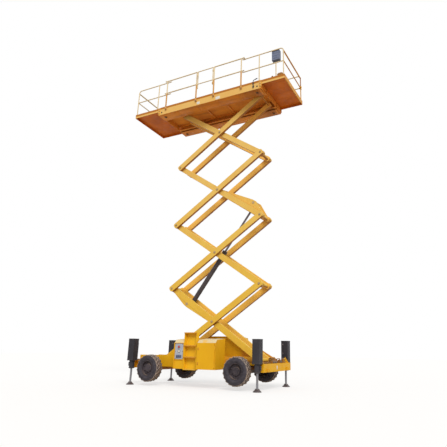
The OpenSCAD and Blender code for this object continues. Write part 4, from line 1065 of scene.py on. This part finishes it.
stop = Shape("platform_stop", red_plastic, "control_grey", "front_extension")
button = Vector((mid_x + 0.06, inner, low.z + 0.15))
stop.stud(button, FAR, 0.018, 0.012)
stop.stud(button + FAR * 0.016, FAR, 0.014, 0.026, 24, 0.02)

# Socket and its small junction box on the inner face of the front deck's near skirt
at = Vector((2.8, -EXT_Y + 0.0095, 9.54))
socket = Shape("edge_socket", valve_paint, "control_grey", "front_extension")
socket.block(at, at + Vector((0.19, 0.07, 0.12)), 0.008)
socket.block(at + Vector((0.03, 0.008, 0.115)), at + Vector((0.16, 0.06, 0.145)), 0.006)
socket.stud(at + Vector((0.09, 0.069, 0.07)), FAR, 0.011, 0.03, 20, 0.026)
socket.block(at - AHEAD * 0.2, at + Vector((-0.15, 0.04, 0.09)), 0.006)

# The pieces are made
for shape in Shape.every:
    shape.done()

# Floor, light and camera
GROUND = 60.0
ground_mesh = bpy.data.meshes.new("ground")
corners = [(-GROUND, -GROUND, 0), (GROUND, -GROUND, 0), (GROUND, GROUND, 0), (-GROUND, GROUND, 0)]
ground_mesh.from_pydata(corners, [], [(0, 1, 2, 3)])
ground = add_object("ground", ground_mesh)
ground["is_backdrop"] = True


def pick_by_eye(tree, light, seen):
    """The first shader for rays that carry light, the second for those of the camera, mirrors and glass."""
    path = new_node(tree, "LightPath")
    share = path.outputs["Is Camera Ray"]
    for name in ("Is Glossy Ray", "Is Transmission Ray"):
        share = new_node(tree, "Math", {0: share, 1: path.outputs[name]}, operation="MAXIMUM").outputs[0]
    return new_node(tree, "MixShader", {0: share, 1: light, 2: seen}).outputs[0]


BOUNCE, PALE, FULL_WHITE = (0.56, 0.48, 0.38, 1), (0.95, 0.95, 0.95, 1), (1, 1, 1, 1)
WHITE_SHARE = 0.62


def ground_finish():
    """A pale floor to the eye that throws a dimmer, warmer light on the machine."""
    material = bpy.data.materials.new("ground_finish")
    material.use_nodes = True
    tree = material.node_tree
    tree.nodes.clear()
    bounce = new_node(tree, "BsdfDiffuse", {0: BOUNCE})
    matt = new_node(tree, "BsdfDiffuse", {0: PALE})
    glow = new_node(tree, "Emission", {0: FULL_WHITE})
    seen = new_node(tree, "MixShader", {0: WHITE_SHARE, 1: matt.outputs[0], 2: glow.outputs[0]})
    both = pick_by_eye(tree, bounce.outputs[0], seen.outputs[0])
    new_node(tree, "OutputMaterial", {0: both})
    return material


ground_mesh.materials.append(ground_finish())

AMBIENT = 0.62
world = bpy.data.worlds.new("studio")
world.use_nodes = True
scene.world = world
tree = world.node_tree
sky = tree.nodes["Background"]
sky.inputs[0].default_value = (1.0, 0.985, 0.96, 1)
sky.inputs[1].default_value = AMBIENT
white = new_node(tree, "Background", {0: FULL_WHITE})
both = pick_by_eye(tree, sky.outputs[0], white.outputs[0])
tree.links.new(both, tree.nodes["World Output"].inputs[0])

KEY_FROM = Vector((0.54, -0.68, 0.72))
key_data = bpy.data.lights.new("key", "SUN")
key_data.energy = 2.2
key_data.angle = radians(28)
key_data.color = (1.0, 0.97, 0.92)
key = add_object("key", key_data)
key.rotation_mode = "QUATERNION"
key.rotation_quaternion = KEY_FROM.to_track_quat("Z", "Y")

# Camera solved from the photo's level ground, upright rails and parallel arms, for a square image
YAW, PITCH, ROLL = -0.456, 0.312, 0.015
EYE = Vector((7.208, -11.687, 1.056))
ahead = Vector((sin(YAW) * cos(PITCH), cos(YAW) * cos(PITCH), sin(PITCH)))
right = Vector((cos(YAW), -sin(YAW), 0))
up = right.cross(ahead)
tilted_right = right * cos(ROLL) + up * sin(ROLL)
tilted_up = up * cos(ROLL) - right * sin(ROLL)
camera_data = bpy.data.cameras.new("camera")
camera_data.sensor_width = 36.0
camera_data.lens = 33.78
camera_data.shift_x, camera_data.shift_y = -0.0599, -0.0210
camera = add_object("camera", camera_data)
turn = Matrix((tilted_right, tilted_up, -ahead)).transposed()
camera.matrix_world = Matrix.Translation(EYE) @ turn.to_4x4()
scene.camera = camera
scene.view_settings.view_transform = "Standard"

bpy.context.view_layer.update()
low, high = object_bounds()
